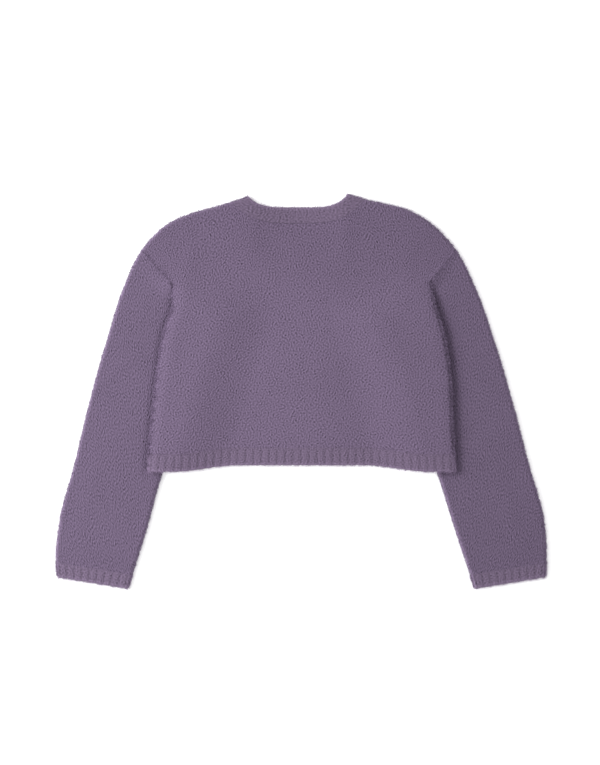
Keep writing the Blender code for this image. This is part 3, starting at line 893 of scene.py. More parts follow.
def band_shell(
    wall: Wall,
    relief: Relief,
    ribs: Array,
    ring: bool,
    lift: float | Array = 0.0,
    paler: float = 0.0,
) -> Shell:
    """Closed wall of a ribbed band, rounded at its free edge.

    Args:
        wall: Middle of the band. Its first row lies half a wall inside the free edge and
            its last row at the seam.
        relief: What stands out of it.
        ribs: Relief of the ribs at each column.
        ring: Whether the columns close to a ring.
        lift: Relief at each column that the ribs stand on.
        paler: How much paler than usual the band is.

    Returns:
        The shell.
    """
    rows, columns = wall.middle.shape[:2]
    edge = unit(wall.middle[0] - wall.middle[1])
    outer = [(wall.middle[j], wall.normal[j]) for j in range(rows - 1, -1, -1)]
    for degrees in EDGE_DEGREES:
        angle = math.radians(degrees)
        way = wall.normal[0] * math.cos(angle) + edge * math.sin(angle)
        outer.append((wall.middle[0], unit(way)))
    inner = [(wall.middle[j], wall.normal[j]) for j in (0, rows // 2, rows - 1)]
    middle = np.concatenate([level[0] for level in outer])
    normal = np.concatenate([level[1] for level in outer])
    seam = smoothstep(np.arange(rows) / (SEAM_FADE * rows))
    fading = np.concatenate([seam[:-1], EDGE_FADE])
    counted_rows = counted(len(outer) + len(inner), 1)[:, :, 1:]
    sets = []
    shape = (len(counted_rows), columns, 1)
    for across in (wall.places, wall.spots):
        both = [np.broadcast_to(across[:1, :, :1], shape), np.broadcast_to(counted_rows, shape)]
        sets.append(np.concatenate(both, axis=2).reshape(-1, 2))
    places, spots = sets
    valleys = np.outer(fading, ribs)
    upward = np.clip(normal.reshape(-1, columns, 3)[..., 2], 0.0, 1.0)
    standing = (valleys + lift * upward).ravel()
    raised, paleness = relief.raise_points(middle, normal, places[:len(middle)], standing)
    # Painted highlight along the band's free edge and over its rounding.
    near_edge = smoothstep(1 - np.arange(rows - 1, -1, -1) / EDGE_ROWS)
    edge_highlight = EDGE_HIGHLIGHT * np.concatenate([near_edge, np.ones(len(outer) - rows)])
    # Painted shade in the rib grooves, and a painted highlight along the left side.
    paleness = paleness + GROOVE_SHADE * valleys.ravel() + left_side_highlight(middle)
    paleness = paleness + np.repeat(edge_highlight, columns) + paler
    hidden = relief.inner_points(*(np.concatenate([level[k] for level in inner]) for k in (0, 1)))
    points = np.concatenate([raised, hidden])
    normals = np.concatenate([normal] + [-level[1] for level in inner])
    index = np.arange(len(points)).reshape(-1, columns)
    quads = grid_quads(np.concatenate([index, index[:1]]), ring)
    turned = turned_over(points, quads, normals[quads[:, 0]])
    quads = quads[:, ::-1] if turned else quads
    faces = quads.tolist()
    if not ring:
        ends = (index[:, 0].tolist(), index[::-1, -1].tolist())
        faces += [end if turned else end[::-1] for end in ends]
    brushed = quads[(quads < len(raised)).all(axis=1)]
    paleness = np.concatenate([paleness, np.full(len(hidden), NEUTRAL)])
    return Shell(points, normals, faces, spots, paleness, brushed)


@dataclass(frozen=True)
class KnitFinish:
    """Matt mauve wool: random grain, painted shade between loops, painted light on curls and fibre
    ends.
    """

    weave: Weave
    word: str
    deep: Color
    tip: Color
    curl_scale: float = 0.82
    curl_frequency: float = 1.6
    curl_share: float = 1.35
    fibre_scale: float = 800.0
    fibre_share: float = 0.25
    lowest: float = -0.35
    mottle_scale: float = 11.0
    mottle_share: float = 0.02
    bump: float = 0.0020
    bump_strength: float = 0.8
    bump_fibre: float = 0.15
    sheen: float = 0.22
    sheen_tint: Color = (0.80, 0.74, 0.86, 1.0)
    sheen_roughness: float = 0.45
    specular: float = 0.12
    noise_range: tuple[float, float] = (0.3, 0.7)

    def material(self) -> bpy.types.Material:
        """The finish as a node material, made once.

        Returns:
            The material, the same one at each call.
        """
        name = self.word + "_wool"
        if name in bpy.data.materials:
            return bpy.data.materials[name]
        material = bpy.data.materials.new(name)
        material.use_nodes = True
        tree = material.node_tree
        shader = tree.nodes["Principled BSDF"]
        shader.inputs["Roughness"].default_value = 1.0
        shader.inputs["Specular IOR Level"].default_value = self.specular
        shader.inputs["Sheen Weight"].default_value = self.sheen
        shader.inputs["Sheen Roughness"].default_value = self.sheen_roughness
        shader.inputs["Sheen Tint"].default_value = self.sheen_tint
        place = tree.nodes.new("ShaderNodeTexCoord").outputs["Object"]
        carried = tree.nodes.new("ShaderNodeAttribute")
        carried.attribute_name = MARK
        parts = tree.nodes.new("ShaderNodeSeparateXYZ")
        tree.links.new(carried.outputs["Vector"], parts.inputs["Vector"])
        curl = self.curls(tree, carried.outputs["Vector"])
        fibre = self.noise(tree, place, self.fibre_scale, 1.0)
        mean = (self.curl_share + self.fibre_share) / 2
        even = self.math(tree, "SUBTRACT", parts.outputs["Z"], mean)
        lit = self.math(tree, "MULTIPLY_ADD", curl, self.curl_share, even)
        lit = self.math(tree, "MULTIPLY_ADD", fibre, self.fibre_share, lit)
        lit = self.math(tree, "MAXIMUM", lit, self.lowest)
        # Painted shade between the loops and painted light on the curls, mixed into the colour.
        shaded = self.mix(tree, lit, self.deep, self.tip)
        mottle = self.noise(tree, place, self.mottle_scale, 2.0)
        tree.links.new(self.vary(tree, shaded, mottle), shader.inputs["Base Color"])
        bump = tree.nodes.new("ShaderNodeBump")
        bump.inputs["Strength"].default_value = self.bump_strength
        bump.inputs["Distance"].default_value = self.bump
        relief = self.math(tree, "MULTIPLY_ADD", fibre, self.bump_fibre, curl)
        tree.links.new(relief, bump.inputs["Height"])
        tree.links.new(bump.outputs["Normal"], shader.inputs["Normal"])
        return material

    @staticmethod
    def math(tree: Tree, operation: str, *values: Socket | float) -> Socket:
        """Result of an operation.

        Args:
            tree: Node tree of the material.
            operation: Name of the operation.
            values: What it works on, sockets or numbers.

        Returns:
            The socket with the result.
        """
        node = tree.nodes.new("ShaderNodeMath")
        node.operation = operation
        for value, socket in zip(values, node.inputs):
            if isinstance(value, Socket):
                tree.links.new(value, socket)
            else:
                socket.default_value = value
        return node.outputs["Value"]

    def curls(self, tree: Tree, place: Socket) -> Socket:
        """Curled yarns between the loops.

        Args:
            tree: Node tree of the material.
            place: Socket with the place, counted in loops.

        Returns:
            The socket with the height of the curls.
        """
        node = tree.nodes.new("ShaderNodeTexGabor")
        node.inputs["Scale"].default_value = self.curl_scale
        node.inputs["Frequency"].default_value = self.curl_frequency
        node.inputs["Anisotropy"].default_value = 0.0
        tree.links.new(place, node.inputs["Vector"])
        return node.outputs["Value"]

    @staticmethod
    def noise(tree: Tree, place: Socket, scale: float, detail: float) -> Socket:
        """Noise texture, about 0.5 on average.

        Args:
            tree: Node tree of the material.
            place: Socket with the place.
            scale: How fine the noise is.
            detail: How many finer layers it has.

        Returns:
            The socket with the noise.
        """
        node = tree.nodes.new("ShaderNodeTexNoise")
        node.inputs["Scale"].default_value = scale
        node.inputs["Detail"].default_value = detail
        tree.links.new(place, node.inputs["Vector"])
        return node.outputs["Fac"]

    @staticmethod
    def mix(tree: Tree, share: Socket, low: Color, high: Color) -> Socket:
        """Colour between two colours, or past them.

        Args:
            tree: Node tree of the material.
            share: Socket with the share, 0 for the low colour and 1 for the high one.
            low: Colour at 0.
            high: Colour at 1.

        Returns:
            The socket with the colour.
        """
        node = tree.nodes.new("ShaderNodeMix")
        node.data_type = "RGBA"
        node.clamp_factor = False
        node.inputs["A"].default_value = low
        node.inputs["B"].default_value = high
        tree.links.new(share, node.inputs["Factor"])
        return node.outputs["Result"]

    def vary(self, tree: Tree, color: Socket, noise: Socket) -> Socket:
        """Colour made darker and paler by a noise, up to the share of the mottle.

        Args:
            tree: Node tree of the material.
            color: Socket with the colour.
            noise: Socket with the noise.

        Returns:
            The socket with the varied colour.
        """
        level = tree.nodes.new("ShaderNodeMapRange")
        level.inputs["From Min"].default_value = self.noise_range[0]
        level.inputs["From Max"].default_value = self.noise_range[1]
        level.inputs["To Min"].default_value = 1 - self.mottle_share
        level.inputs["To Max"].default_value = 1 + self.mottle_share
        tree.links.new(noise, level.inputs["Value"])
        scaled = tree.nodes.new("ShaderNodeVectorMath")
        scaled.operation = "SCALE"
        tree.links.new(color, scaled.inputs["Vector"])
        tree.links.new(level.outputs["Result"], scaled.inputs["Scale"])
        return scaled.outputs["Vector"]


# Deep colours are the painted shade between the loops, tip colours the wool on their curls.
BRUSHED = KnitFinish(
    Weave.BRUSHED, "body", (0.065, 0.047, 0.078, 1.0), (0.188, 0.138, 0.223, 1.0)
)
# The sleeves' wool: a darker copy of the body's, painted shade for the weaker light on the
# sleeves.
SHADED_SLEEVE_WOOL = KnitFinish(
    Weave.BRUSHED, "sleeve", (0.060, 0.044, 0.072, 1.0), (0.173, 0.127, 0.206, 1.0)
)
RIBBED = KnitFinish(
    Weave.RIBBED, "ribbed", (0.068, 0.050, 0.079, 1.0), (0.197, 0.145, 0.228, 1.0),
    curl_share=1.0, bump_strength=0.6,
)


@dataclass(frozen=True)
class Nap:
    """Loose fibre ends brushed out of the knit."""

    strands: int
    height: float
    slant: float
    width: float
    seed: int
    bent: bool = True
    stray: float = 0.9
    comb: tuple[float, float, float] = (0.0, -0.4, 0.0)
    uneven: float = 0.45
    gather: float = 0.0
    reach: float = 0.0065
    lowest: float = 0.0006
    # Strands are painted darker at the foot, as shade among them, and paler at the tip, as light
    # through them.
    foot_paleness: float = 0.45
    tip_paleness: float = 0.80
    paleness_spread: float = 0.12
    place_spread: float = 50.0
    shortest: float = 0.4
    longest: float = 2.2
    bend_rise: float = 0.3
    bend_share: float = 0.4
    bend_width: float = 0.9

    def brush(self, name: str, shell: Shell, finish: KnitFinish, growth: Growth) -> Object:
        """Brush strands out of a shell.

        Args:
            name: Name of the new piece.
            shell: Cloth that the strands grow from.
            finish: Finish of the strands.
            growth: How thick and long they grow, by place and normal: 0 for none, 1 for the
                usual nap.

        Returns:
            The strands as one object.
        """
        rng = np.random.default_rng(self.seed)
        corners = shell.points[shell.brushed]
        across, along = corners[:, 2] - corners[:, 0], corners[:, 3] - corners[:, 1]
        grown = growth(corners.mean(axis=1), shell.normals[shell.brushed[:, 0]])
        odds = np.linalg.norm(np.cross(across, along), axis=1) * grown
        picked = rng.choice(len(odds), size=self.strands, p=odds / odds.sum())
        u, v = rng.random((2, self.strands, 1))
        corner = corners[picked]
        root = lerp(lerp(corner[:, 0], corner[:, 1], u), lerp(corner[:, 3], corner[:, 2], u), v)
        normal = shell.normals[shell.brushed[picked, 0]]
        tuft = np.floor(shell.places[shell.brushed[picked, 0]]).astype(np.int64)
        shared = np.stack([scatter(tuft, self.seed + k) for k in range(3)], axis=1) - 0.5
        own = flatten(rng.normal(0.0, 1.0, root.shape), normal)
        way = flatten(shared, normal) + own * self.stray
        way += flatten(np.broadcast_to(self.comb, root.shape), normal, keep=True)
        longer = np.clip(grown[picked], self.shortest, self.longest)[:, None]
        longer = longer * (1 + rng.uniform(-self.uneven, self.uneven, (self.strands, 1)))
        longer = longer * (1 + self.uneven * (scatter(tuft, self.seed + 3)[:, None] - 0.5))
        rise = normal * self.height * longer
        strand = rise + way * self.slant * longer
        length = np.linalg.norm(strand, axis=1, keepdims=True)
        tip = root + strand * np.minimum(1.0, self.reach / length)
        if self.gather:
            _, member = np.unique(tuft, axis=0, return_inverse=True)
            member = member.ravel()
            sums = np.stack([np.bincount(member, tip[:, k]) for k in range(3)], axis=1)
            tip = lerp(tip, (sums / np.bincount(member)[:, None])[member], self.gather)
        side = unit(np.cross(tip - root, rng.normal(size=root.shape))) * self.width / 2
        foot = root - normal * self.width
        if self.bent:
            bend = lerp(root + rise * self.bend_rise, tip, self.bend_share)
            out = side * self.bend_width
            points = np.stack([foot - side, foot + side, bend + out, bend - out, tip], axis=1)
            pattern, shares = ((0, 1, 2, 3), (3, 2, 4)), (0.0, 0.0, 0.6, 0.6, 1.0)
        else:
            points = np.stack([foot - side, foot + side, tip], axis=1)
            pattern, shares = ((0, 1, 2),), (0.0, 0.0, 1.0)
        points[:, :, 2] = np.maximum(points[:, :, 2], self.lowest)
        size = points.shape[1]
        base = np.arange(self.strands)[:, None] * size
        faces = [face for corners in pattern for face in (base + np.array(corners)).tolist()]
        paleness = lerp(self.foot_paleness, self.tip_paleness, np.array(shares))
        paleness = paleness + rng.uniform(
            -self.paleness_spread, self.paleness_spread, (self.strands, 1)
        )
        # Each strand also takes the cloth's paleness at its root, painted light and shade
        # included.
        paleness = paleness + (shell.paleness[shell.brushed[picked, 0]] - NEUTRAL)[:, None]
        strands = Shell(
            points.reshape(-1, 3), np.repeat(normal, size, axis=0), faces,
            np.repeat(rng.uniform(0.0, self.place_spread, (self.strands, 2)), size, axis=0),
            paleness.ravel(), np.zeros((0, 4), int),
        )
        return strands.make(name, finish)


def edge_fuzz(strands: int, height: float, seed: int, slant: float = 0.0024) -> Nap:
    """Fine, straight, uneven hairs for folds and free edges."""
    # Their tips are painted pale: painted light on the fuzz of the outline.
    return Nap(
        strands, height, slant, width=0.00020, seed=seed, bent=False, stray=1.8, uneven=0.9,
        foot_paleness=0.6, tip_paleness=1.5,
    )


def by_hand(left: float, right: float) -> dict[Hand, float]:
    """Default of a dataclass field that has a value for each side."""
    return field(default_factory=lambda: {Hand.LEFT: left, Hand.RIGHT: right})


def flatten(vectors: Array, normals: Array, keep: bool = False) -> Array:
    """Vectors without their part along the normals, of length 1 unless kept as they are."""
    flat = vectors - normals * (vectors * normals).sum(axis=1, keepdims=True)
    return flat if keep else unit(flat)


class Turn(NamedTuple):
    """How strands gather on rounded cloth, and how far down it may face to have any."""

    slope: float
    start: float
    lowest: float

    def share(self, normals: Array) -> Array:
        """Share of the strands, 0 on cloth that faces straight up or down."""
        return smoothstep(self.slope * (1 - np.abs(normals[:, 2])) - self.start)


NAP_TURN = Turn(1.4, 0.0, -0.35)
FUZZ_TURN = Turn(1.6, 0.1, -0.6)
TUFT_TURN = Turn(1.5, 0.0, -0.1)
NAP_THIN = 0.35
NAP_THICK = 1.3


def everywhere(places: Array, normals: Array) -> Array:
    """Nap all over, thicker on the rounded edges and none on cloth that faces down."""
    grown = lerp(NAP_THIN, NAP_THICK, NAP_TURN.share(normals))
    return (normals[:, 2] > NAP_TURN.lowest) * grown


def on_folds(places: Array, normals: Array) -> Array:
    """Fuzz on the rounded edges alone."""
    return (normals[:, 2] > FUZZ_TURN.lowest) * FUZZ_TURN.share(normals)


def beside_fold(places: Array, hand: Hand) -> Array:
    """Whether places lie at the body's side fold, from the armhole down to the hem.

    Args:
        places: Points of the cloth, one a row.
        hand: Side of the garment.

    Returns:
        True or false for each point.
    """
    side = FORM.sides[hand]
    inside = side.fold_out(places[:, 1]) - hand.value * places[:, 0]
    return (inside < SIDE_EDGE) & (places[:, 1] < side.fold[0][1])


def on_side_folds(places: Array, normals: Array) -> Array:
    """Tufts on the side folds of the body, thinner on the left."""
    beside = beside_fold(places, Hand.RIGHT) + LEFT_TUFTS * beside_fold(places, Hand.LEFT)
    return beside * TUFT_TURN.share(normals) * (normals[:, 2] > TUFT_TURN.lowest)


def left_side_highlight(places: Array) -> Array:
    """Painted highlight along the left side of the body and its hem, which rolls towards the
    light.

    Args:
        places: Points of the cloth, one a row.

    Returns:
        What is added to the paleness of each point.
    """
    left = FORM.sides[Hand.LEFT]
    inside = left.fold_out(places[:, 1]) + places[:, 0]
    along = places[:, 1] < left.fold[0][1]
    return SIDE_HIGHLIGHT * np.exp(-((inside / SIDE_HIGHLIGHT_WIDTH) ** 2)) * along


def beside_armholes(places: Array) -> Array:
    """Share to which places lie at an armhole seam, where the nap is thicker.

    Args:
        places: Points of the cloth, one a row.

    Returns:
        A share for each point, 0 to 1.
    """
    share = np.zeros(len(places))
    for side in FORM.sides.values():
        distance, _, _ = nearest(places[:, :2], np.stack([side.shoulder_point, side.fold[0]]))
        share = np.maximum(share, np.exp(-((distance / SEAM_WIDTH) ** 2)))
    return share


def over_seam(places: Array, normals: Array) -> Array:
    """How much thicker the nap lies over the armhole seams, but not at their ends."""
    facing_up = smoothstep(SEAM_SLOPE * normals[:, 2] - SEAM_START)
    return 1 + SEAM_NAP * beside_armholes(places) * facing_up


def rounding(radius: Array, steps: int = 6) -> Array:
    """Plan distances from a fold at which its rounding is drawn, outermost first."""
    return radius * (1 - np.cos(np.linspace(0.0, math.pi / 2, steps + 1)))


def run_length(line: Array) -> Array:
    """Distance along a polyline up to each of its points."""
    return np.concatenate([[0.0], np.cumsum(np.linalg.norm(np.diff(line, axis=0), axis=1))])


def coons(bottom: Array, top: Array, left: Array, right: Array) -> Array:
    """Plan grid that fills the space between four edges given as points.

    Args:
        bottom: Points of the lower edge, left to right.
        top: As many points of the upper edge.
        left: Points of the left edge, from the bottom up.
        right: As many points of the right edge.

    Returns:
        The grid, rows by columns by 2, from the bottom up.
    """
    u = ((bottom[:, 0] - bottom[0, 0]) / (bottom[-1, 0] - bottom[0, 0]))[None, :, None]
    run = run_length(left)
    v = (run / run[-1])[:, None, None]
    return (
        lerp(bottom[None], top[None], v)
        + lerp(left[:, None], right[:, None], u)
        - lerp(lerp(bottom[0], bottom[-1], u), lerp(top[0], top[-1], u), v)
    )


def rib_valleys(places: Array) -> Array:
    """Depth of the valleys between ribs: 1 at whole numbers, 0 on the crests."""
    return (0.5 + 0.5 * np.cos(2 * math.pi * places)) ** 3


def rib_row(count: int, steps_per_rib: int, margin: int) -> Array:
    """Valleys at a row of count steps, with a plain margin at each of its ends."""
    return np.pad(rib_valleys(np.arange(count + 1) / steps_per_rib), margin)


def under_body(plan: Array) -> Array:
    """Share to which points of a sleeve lie under the body or its hem.

    Args:
        plan: Plan points, one a row.

    Returns:
        A share for each point, 0 to 1.
    """
    inside = plan[:, 1] - FORM.hem_line(plan[:, 0])
    for side in FORM.sides.values():
        inside = np.minimum(inside, side.fold_out(plan[:, 1]) - side.hand.value * plan[:, 0])
    return smoothstep(inside / COVER_EDGE)


def pressed_below(middle: Array, normal: Array) -> Array:
    """How far cloth that faces down is pressed smooth by its weight."""
    return PRESSED * smoothstep(-PRESS_SLOPE * normal[:, 2])


def pressed_sleeve(middle: Array, normal: Array) -> Array:
    """How far a sleeve's cloth is pressed smooth, beneath and where the body lies on it."""
    return np.maximum(pressed_below(middle, normal), PRESSED * under_body(middle[:, :2]))


BACK_LIFTS = (Crease(0.024, -0.010, 90.0, 0.170, 0.092, 0.0044),)
BACK_CREASES = (
    Crease(0.052, 0.110, 84.0, 0.120, 0.034, 0.0004),
    Crease(-0.108, 0.058, 12.0, 0.060, 0.022, -0.0004),
    Crease(-0.070, 0.000, 20.0, 0.070, 0.020, 0.0004),
    Crease(-0.085, -0.050, 4.0, 0.050, 0.014, -0.0003),
    Crease(0.105, 0.245, -20.0, 0.060, 0.022, -0.0005),
    Crease(0.162, 0.205, 70.0, 0.045, 0.024, 0.0007),
    Crease(-0.176, 0.185, 78.0, 0.034, 0.015, 0.0008),
    Crease(-0.200, 0.094, 79.0, 0.060, 0.022, 0.0009),
    Crease(0.120, 0.010, 65.0, 0.060, 0.024, 0.0003),
    Crease(0.020, -0.035, -8.0, 0.070, 0.016, 0.0003),
    Crease(0.150, 0.120, 80.0, 0.060, 0.022, -0.0003),
)


def side_roll(middle: Array) -> Array:
    """How far the back and its hem roll down towards their side folds.

    Args:
        middle: Middle points of the cloth, one a row.

    Returns:
        The drop of each point, in metres.
    """
    rolled = np.zeros(len(middle))
    for hand, side in FORM.sides.items():
        inside = side.fold_out(middle[:, 1]) - hand.value * middle[:, 0]
        below = smoothstep((side.fold[0][1] - middle[:, 1]) / ROLL_WIDTH + 0.5)
        rolled += ROLL[hand] * below * np.clip(1 - inside / ROLL_WIDTH, 0.0, 1.0) ** ROLL_POWER
    return rolled


@dataclass
class Panel:
    """Grids that the back and the front of the body share."""

    step: float
    fold_steps: int = 6
    neck_samples: int = 801
    shoulder_samples: int = 200
    turn_depth: float = 0.010
    turn_rows: int = 3

    def columns(self, y: float, count: int) -> Array:
        """x of the columns at a height y, from the left fold to the right.

        Args:
            y: Height on the body.
            count: Number of steps between the roundings of the two folds.

        Returns:
            One x for each column.
        """
        offsets = rounding(FORM.side_radius(np.array(y)), self.fold_steps)
        left = -FORM.sides[Hand.LEFT].fold_out(y) + offsets
        right = FORM.sides[Hand.RIGHT].fold_out(y) - offsets
        flat = np.linspace(left[-1], right[-1], count + 1)
        return np.concatenate([left[:-1], flat, right[-2::-1]])

    def rows_to_underarm(self) -> Array:
        """Plan rows from the hem seam to the underarm.

        Returns:
            The rows, a grid of plan points.
        """
        width = FORM.sides[Hand.LEFT].fold_out(0.0) + FORM.sides[Hand.RIGHT].fold_out(0.0)
        count = round(width / self.step)
        bottom_y = FORM.hem_side_y + FORM.hem_band
        rows = []
        for share in np.linspace(0.0, 1.0, round((FORM.underarm_y - bottom_y) / self.step) + 1):
            x = self.columns(lerp(bottom_y, FORM.underarm_y, share), count)
            seam_y = FORM.hem_line(x) + FORM.hem_band
            rows.append(np.stack([x, lerp(seam_y, FORM.underarm_y, share)], axis=1))
        return np.array(rows)

    def armhole_corner(self, side: Side) -> float:
        """Place of the body's armhole corner, counted in knots of the shoulder fold."""
        span = side.outer_knots[FORM.shoulder_end] - side.outer_knots[FORM.shoulder_end - 1]
        return FORM.shoulder_end - FORM.seam / float(np.linalg.norm(span))

    def top_edge(self, line: NeckLine, columns: int, close: int) -> Array:
        """Points of a panel's top edge, from the left armhole over the neck to the right.

        Args:
            line: Half of the neck that the panel ends at.
            columns: Number of columns of the panel.
            close: Number of closely spaced columns beside each armhole.

        Returns:
            One plan point for each column.
        """
        w = np.linspace(-1.0, 1.0, self.neck_samples)
        neck_run = run_length(FORM.neck_curve(line, w, seam=True))
        places, runs = {}, {}
        for hand, side in FORM.sides.items():
            corner = self.armhole_corner(side)
            places[hand] = np.linspace(corner, FORM.band_end, self.shoulder_samples)
            runs[hand] = run_length(spline(side.outer_knots, places[hand]))
        whole = neck_run[-1] + sum(run[-1] for run in runs.values())
        shoulder = round((columns - 1 - 2 * close) * runs[Hand.LEFT][-1] / whole)
        offsets = rounding(FORM.fold_radius, close) if close else np.zeros(1)
        parts = {}
        for hand, side in FORM.sides.items():
            even = np.linspace(offsets[-1], runs[hand][-1], shoulder + 1)
            wanted = np.interp(np.concatenate([offsets[:-1], even]), runs[hand], places[hand])
            parts[hand] = spline(side.outer_knots, wanted)
        steps = columns + 1 - 2 * len(parts[Hand.LEFT])
        even_w = np.interp(np.linspace(0.0, neck_run[-1], steps + 1), neck_run, w)
        neck = FORM.neck_curve(line, even_w, seam=True)
        return np.concatenate([parts[Hand.LEFT][:-1], neck, parts[Hand.RIGHT][-2::-1]])

    def yoke(self, bottom: Array, top: Array, edges: dict[Hand, Array]) -> Array:
        """Plan rows above the underarm, with the rounding of the shoulder fold on top.

        Args:
            bottom: Plan row at the underarm.
            top: Plan points of the top edge.
            edges: Points of the left and right edge, from the bottom up.

        Returns:
            The rows, without the one at the underarm.
        """
        drafted = coons(bottom, top, edges[Hand.LEFT], edges[Hand.RIGHT])
        below = drafted[-1 - max(self.turn_rows, round(self.turn_depth / self.step))]
        inset = top + unit(below - top) * FORM.fold_radius
        shortened = {}
        for hand, edge in edges.items():
            run = run_length(edge)
            wanted = run * (1 - FORM.fold_radius / run[-1])
            both = [np.interp(wanted, run, edge[:, k]) for k in range(2)]
            shortened[hand] = np.stack(both, axis=1)
        inset[0], inset[-1] = shortened[Hand.LEFT][-1], shortened[Hand.RIGHT][-1]
        rows = coons(bottom, inset, shortened[Hand.LEFT], shortened[Hand.RIGHT])[1:]
        shares = rounding(1.0, self.fold_steps)[-2::-1]
        rolled = [lerp(top, inset, share) for share in shares]
        return np.concatenate([rows, rolled])


@dataclass
class Body:
    """Back and front panel of the body."""

    back: Panel = field(default_factory=lambda: Panel(0.00142))
    front: Panel = field(default_factory=lambda: Panel(0.0028))
    flap_top_y: float = 0.134
    flap_setback: float = 0.009
    flap_rows: int = 12
    loops: Loops = Loops(depth=0.00028)
    front_pitch: float = 0.0057
    nap: Nap = Nap(strands=26000, height=0.0013, slant=0.0013, width=0.00030, seed=11)
    fuzz: Nap = edge_fuzz(10000, 0.0033, seed=12)
    tufts: Nap = Nap(
        strands=3400, height=0.0046, slant=0.0022, width=0.00040, seed=15, bent=False,
        comb=(0.0, -0.5, 0.0), uneven=0.6, gather=0.5, foot_paleness=0.9, tip_paleness=1.3,
    )
    # Painted shade on the rounded rims of the side folds, strong on the right, away from the
    # light.
    rim_shade: dict[Hand, float] = by_hand(0.05, 0.9)
    edge_nap: float = 2.2
    front_edge_steps: int = 58
    # Painted shade that darkens the back above shade_y.
    shade_y: float = 0.12
    shade_width: float = 0.14
    shade: float = 0.09
    front_creases: tuple[Crease, ...] = (
        Crease(0.150, 0.060, 70.0, 0.060, 0.016, 0.0008),
        Crease(-0.160, 0.030, -75.0, 0.050, 0.014, 0.0007),
        Crease(0.030, 0.020, 15.0, 0.080, 0.018, -0.0006),
    )

    @property
    def folds(self) -> list[Fold]:
        """Folds that bound both panels."""
        return FORM.outer_folds(*EVERY) + FORM.side_folds(*EVERY)

    def back_cloth(self) -> Cloth:
        """Middle of the back panel's wall.

        Returns:
            The cloth.
        """
        lower = self.back.rows_to_underarm()
        step = self.back.step
        ends = {}
        for hand, side in FORM.sides.items():
            corner = spline(side.outer_knots, np.array([self.back.armhole_corner(side)]))[0]
            ends[hand] = (side.fold[0] + side.into_body * FORM.seam, corner)
        low = max(round((start[1] - FORM.underarm_y) / step) for start, _ in ends.values())
        seams = [np.linalg.norm(corner - start) for start, corner in ends.values()]
        high = max(round(seam / step) for seam in seams)
        edges = {}
        for hand, (start, corner) in ends.items():
            y = np.linspace(FORM.underarm_y, start[1], low + 1)[:-1]
            fold = np.stack([hand.value * FORM.sides[hand].fold_out(y), y], axis=1)
            edges[hand] = np.concatenate([fold, between(start, corner, high)])
        top = self.back.top_edge(FORM.neck_back, lower.shape[1], self.back.fold_steps)
        plan = np.concatenate([lower, self.back.yoke(lower[-1], top, edges)])
        cloth = Cloth()
        cloth.add(Wall.lay(plan, Layer.UPPER, FORM.back_height, self.folds, FORM.seam / 2))
        return cloth

    def front_cloth(self) -> Cloth:
        """Middle of the front panel's wall, which splits over the top end of each sleeve.

        Returns:
            The cloth.
        """
        lower = self.front.rows_to_underarm()
        cloth = Cloth()
        seam = cloth.add(self.front_wall(lower, FORM.front_height))[-1]
        cuts = {}
        for hand, side in FORM.sides.items():
            out = side.sleeve_out(np.array(FORM.underarm_y)) - FORM.half - FORM.rise_end
            cuts[hand] = int(np.argmin(np.abs(lower[-1][:, 0] - hand.value * out)))
        span = slice(cuts[Hand.LEFT], cuts[Hand.RIGHT] + 1)
        edges = {}
        for hand, side in FORM.sides.items():
            corner = spline(side.outer_knots, np.array([self.front.armhole_corner(side)]))[0]
            edges[hand] = between(lower[-1][cuts[hand]], corner, self.front_edge_steps)
        top = self.front.top_edge(FORM.neck_front, len(seam[span]), 0)
        yoke = self.front.yoke(lower[-1][span], top, edges)
        cloth.add(self.front_wall(yoke, FORM.front_height), seam[span])
        cloth.add(self.flap_wall(Hand.LEFT, cuts[Hand.LEFT]), seam[:cuts[Hand.LEFT] + 1])
        count = len(seam) - 1 - cuts[Hand.RIGHT]
        cloth.add(self.flap_wall(Hand.RIGHT, count), seam[:cuts[Hand.RIGHT] - 1:-1])
        return cloth

    def front_wall(self, plan: Array, height: Heights) -> Wall:
        """Lay a grid of the front, its loops counted in plan as its steps are coarser."""
        places = plan / self.front_pitch
        return Wall.lay(plan, Layer.LOWER, height, self.folds, FORM.seam / 2, places)

    def flap_wall(self, hand: Hand, count: int) -> Wall:
        """Part of the front layer that runs up beside the armhole, over the sleeve.

        Args:
            hand: Side of the garment.
            count: Number of steps from the side fold to its inner edge.

        Returns:
            Its wall, from the side fold inwards.
        """
        side = FORM.sides[hand]
        rows = []
        for y in np.linspace(FORM.underarm_y, self.flap_top_y, self.flap_rows + 1)[1:]:
            share = (y - side.underarm[1]) / (side.shoulder_point[1] - side.underarm[1])
            seam_out = hand.value * lerp(side.underarm, side.shoulder_point, share)[0]
            edge = seam_out + self.flap_setback
            offsets = rounding(FORM.side_radius(np.array(y)), self.front.fold_steps)
            fold = side.fold_out(y)
            flat = np.linspace(fold - offsets[-1], edge, count + 2 - len(offsets))
            outs = np.concatenate([fold - offsets[:-1], flat])
            rows.append(np.stack([hand.value * outs, np.full(len(outs), y)], axis=1))
        return self.front_wall(np.array(rows), FORM.flap_height)

    def edge_relief(self, cloth: Cloth) -> Array:
        """Roll of the back towards its side folds, and the welts of its armhole seams."""
        rolled = side_roll(cloth.middle) * np.clip(cloth.normal[:, 2], 0.0, 1.0)
        return WELT * beside_armholes(cloth.middle) - rolled

    def paler(self, cloth: Cloth) -> Array:
        """Painted light on the back: a highlight along its seams and its left side, shade above,
        and shade on the rounded rims of its side folds.

        Args:
            cloth: Middle of the back.

        Returns:
            The change of its paleness at each point.
        """
        above = smoothstep((cloth.middle[:, 1] - self.shade_y) / self.shade_width)
        rim_darkening = np.zeros(len(above))
        for hand in EVERY:
            rim_darkening += self.rim_shade[hand] * beside_fold(cloth.middle, hand)
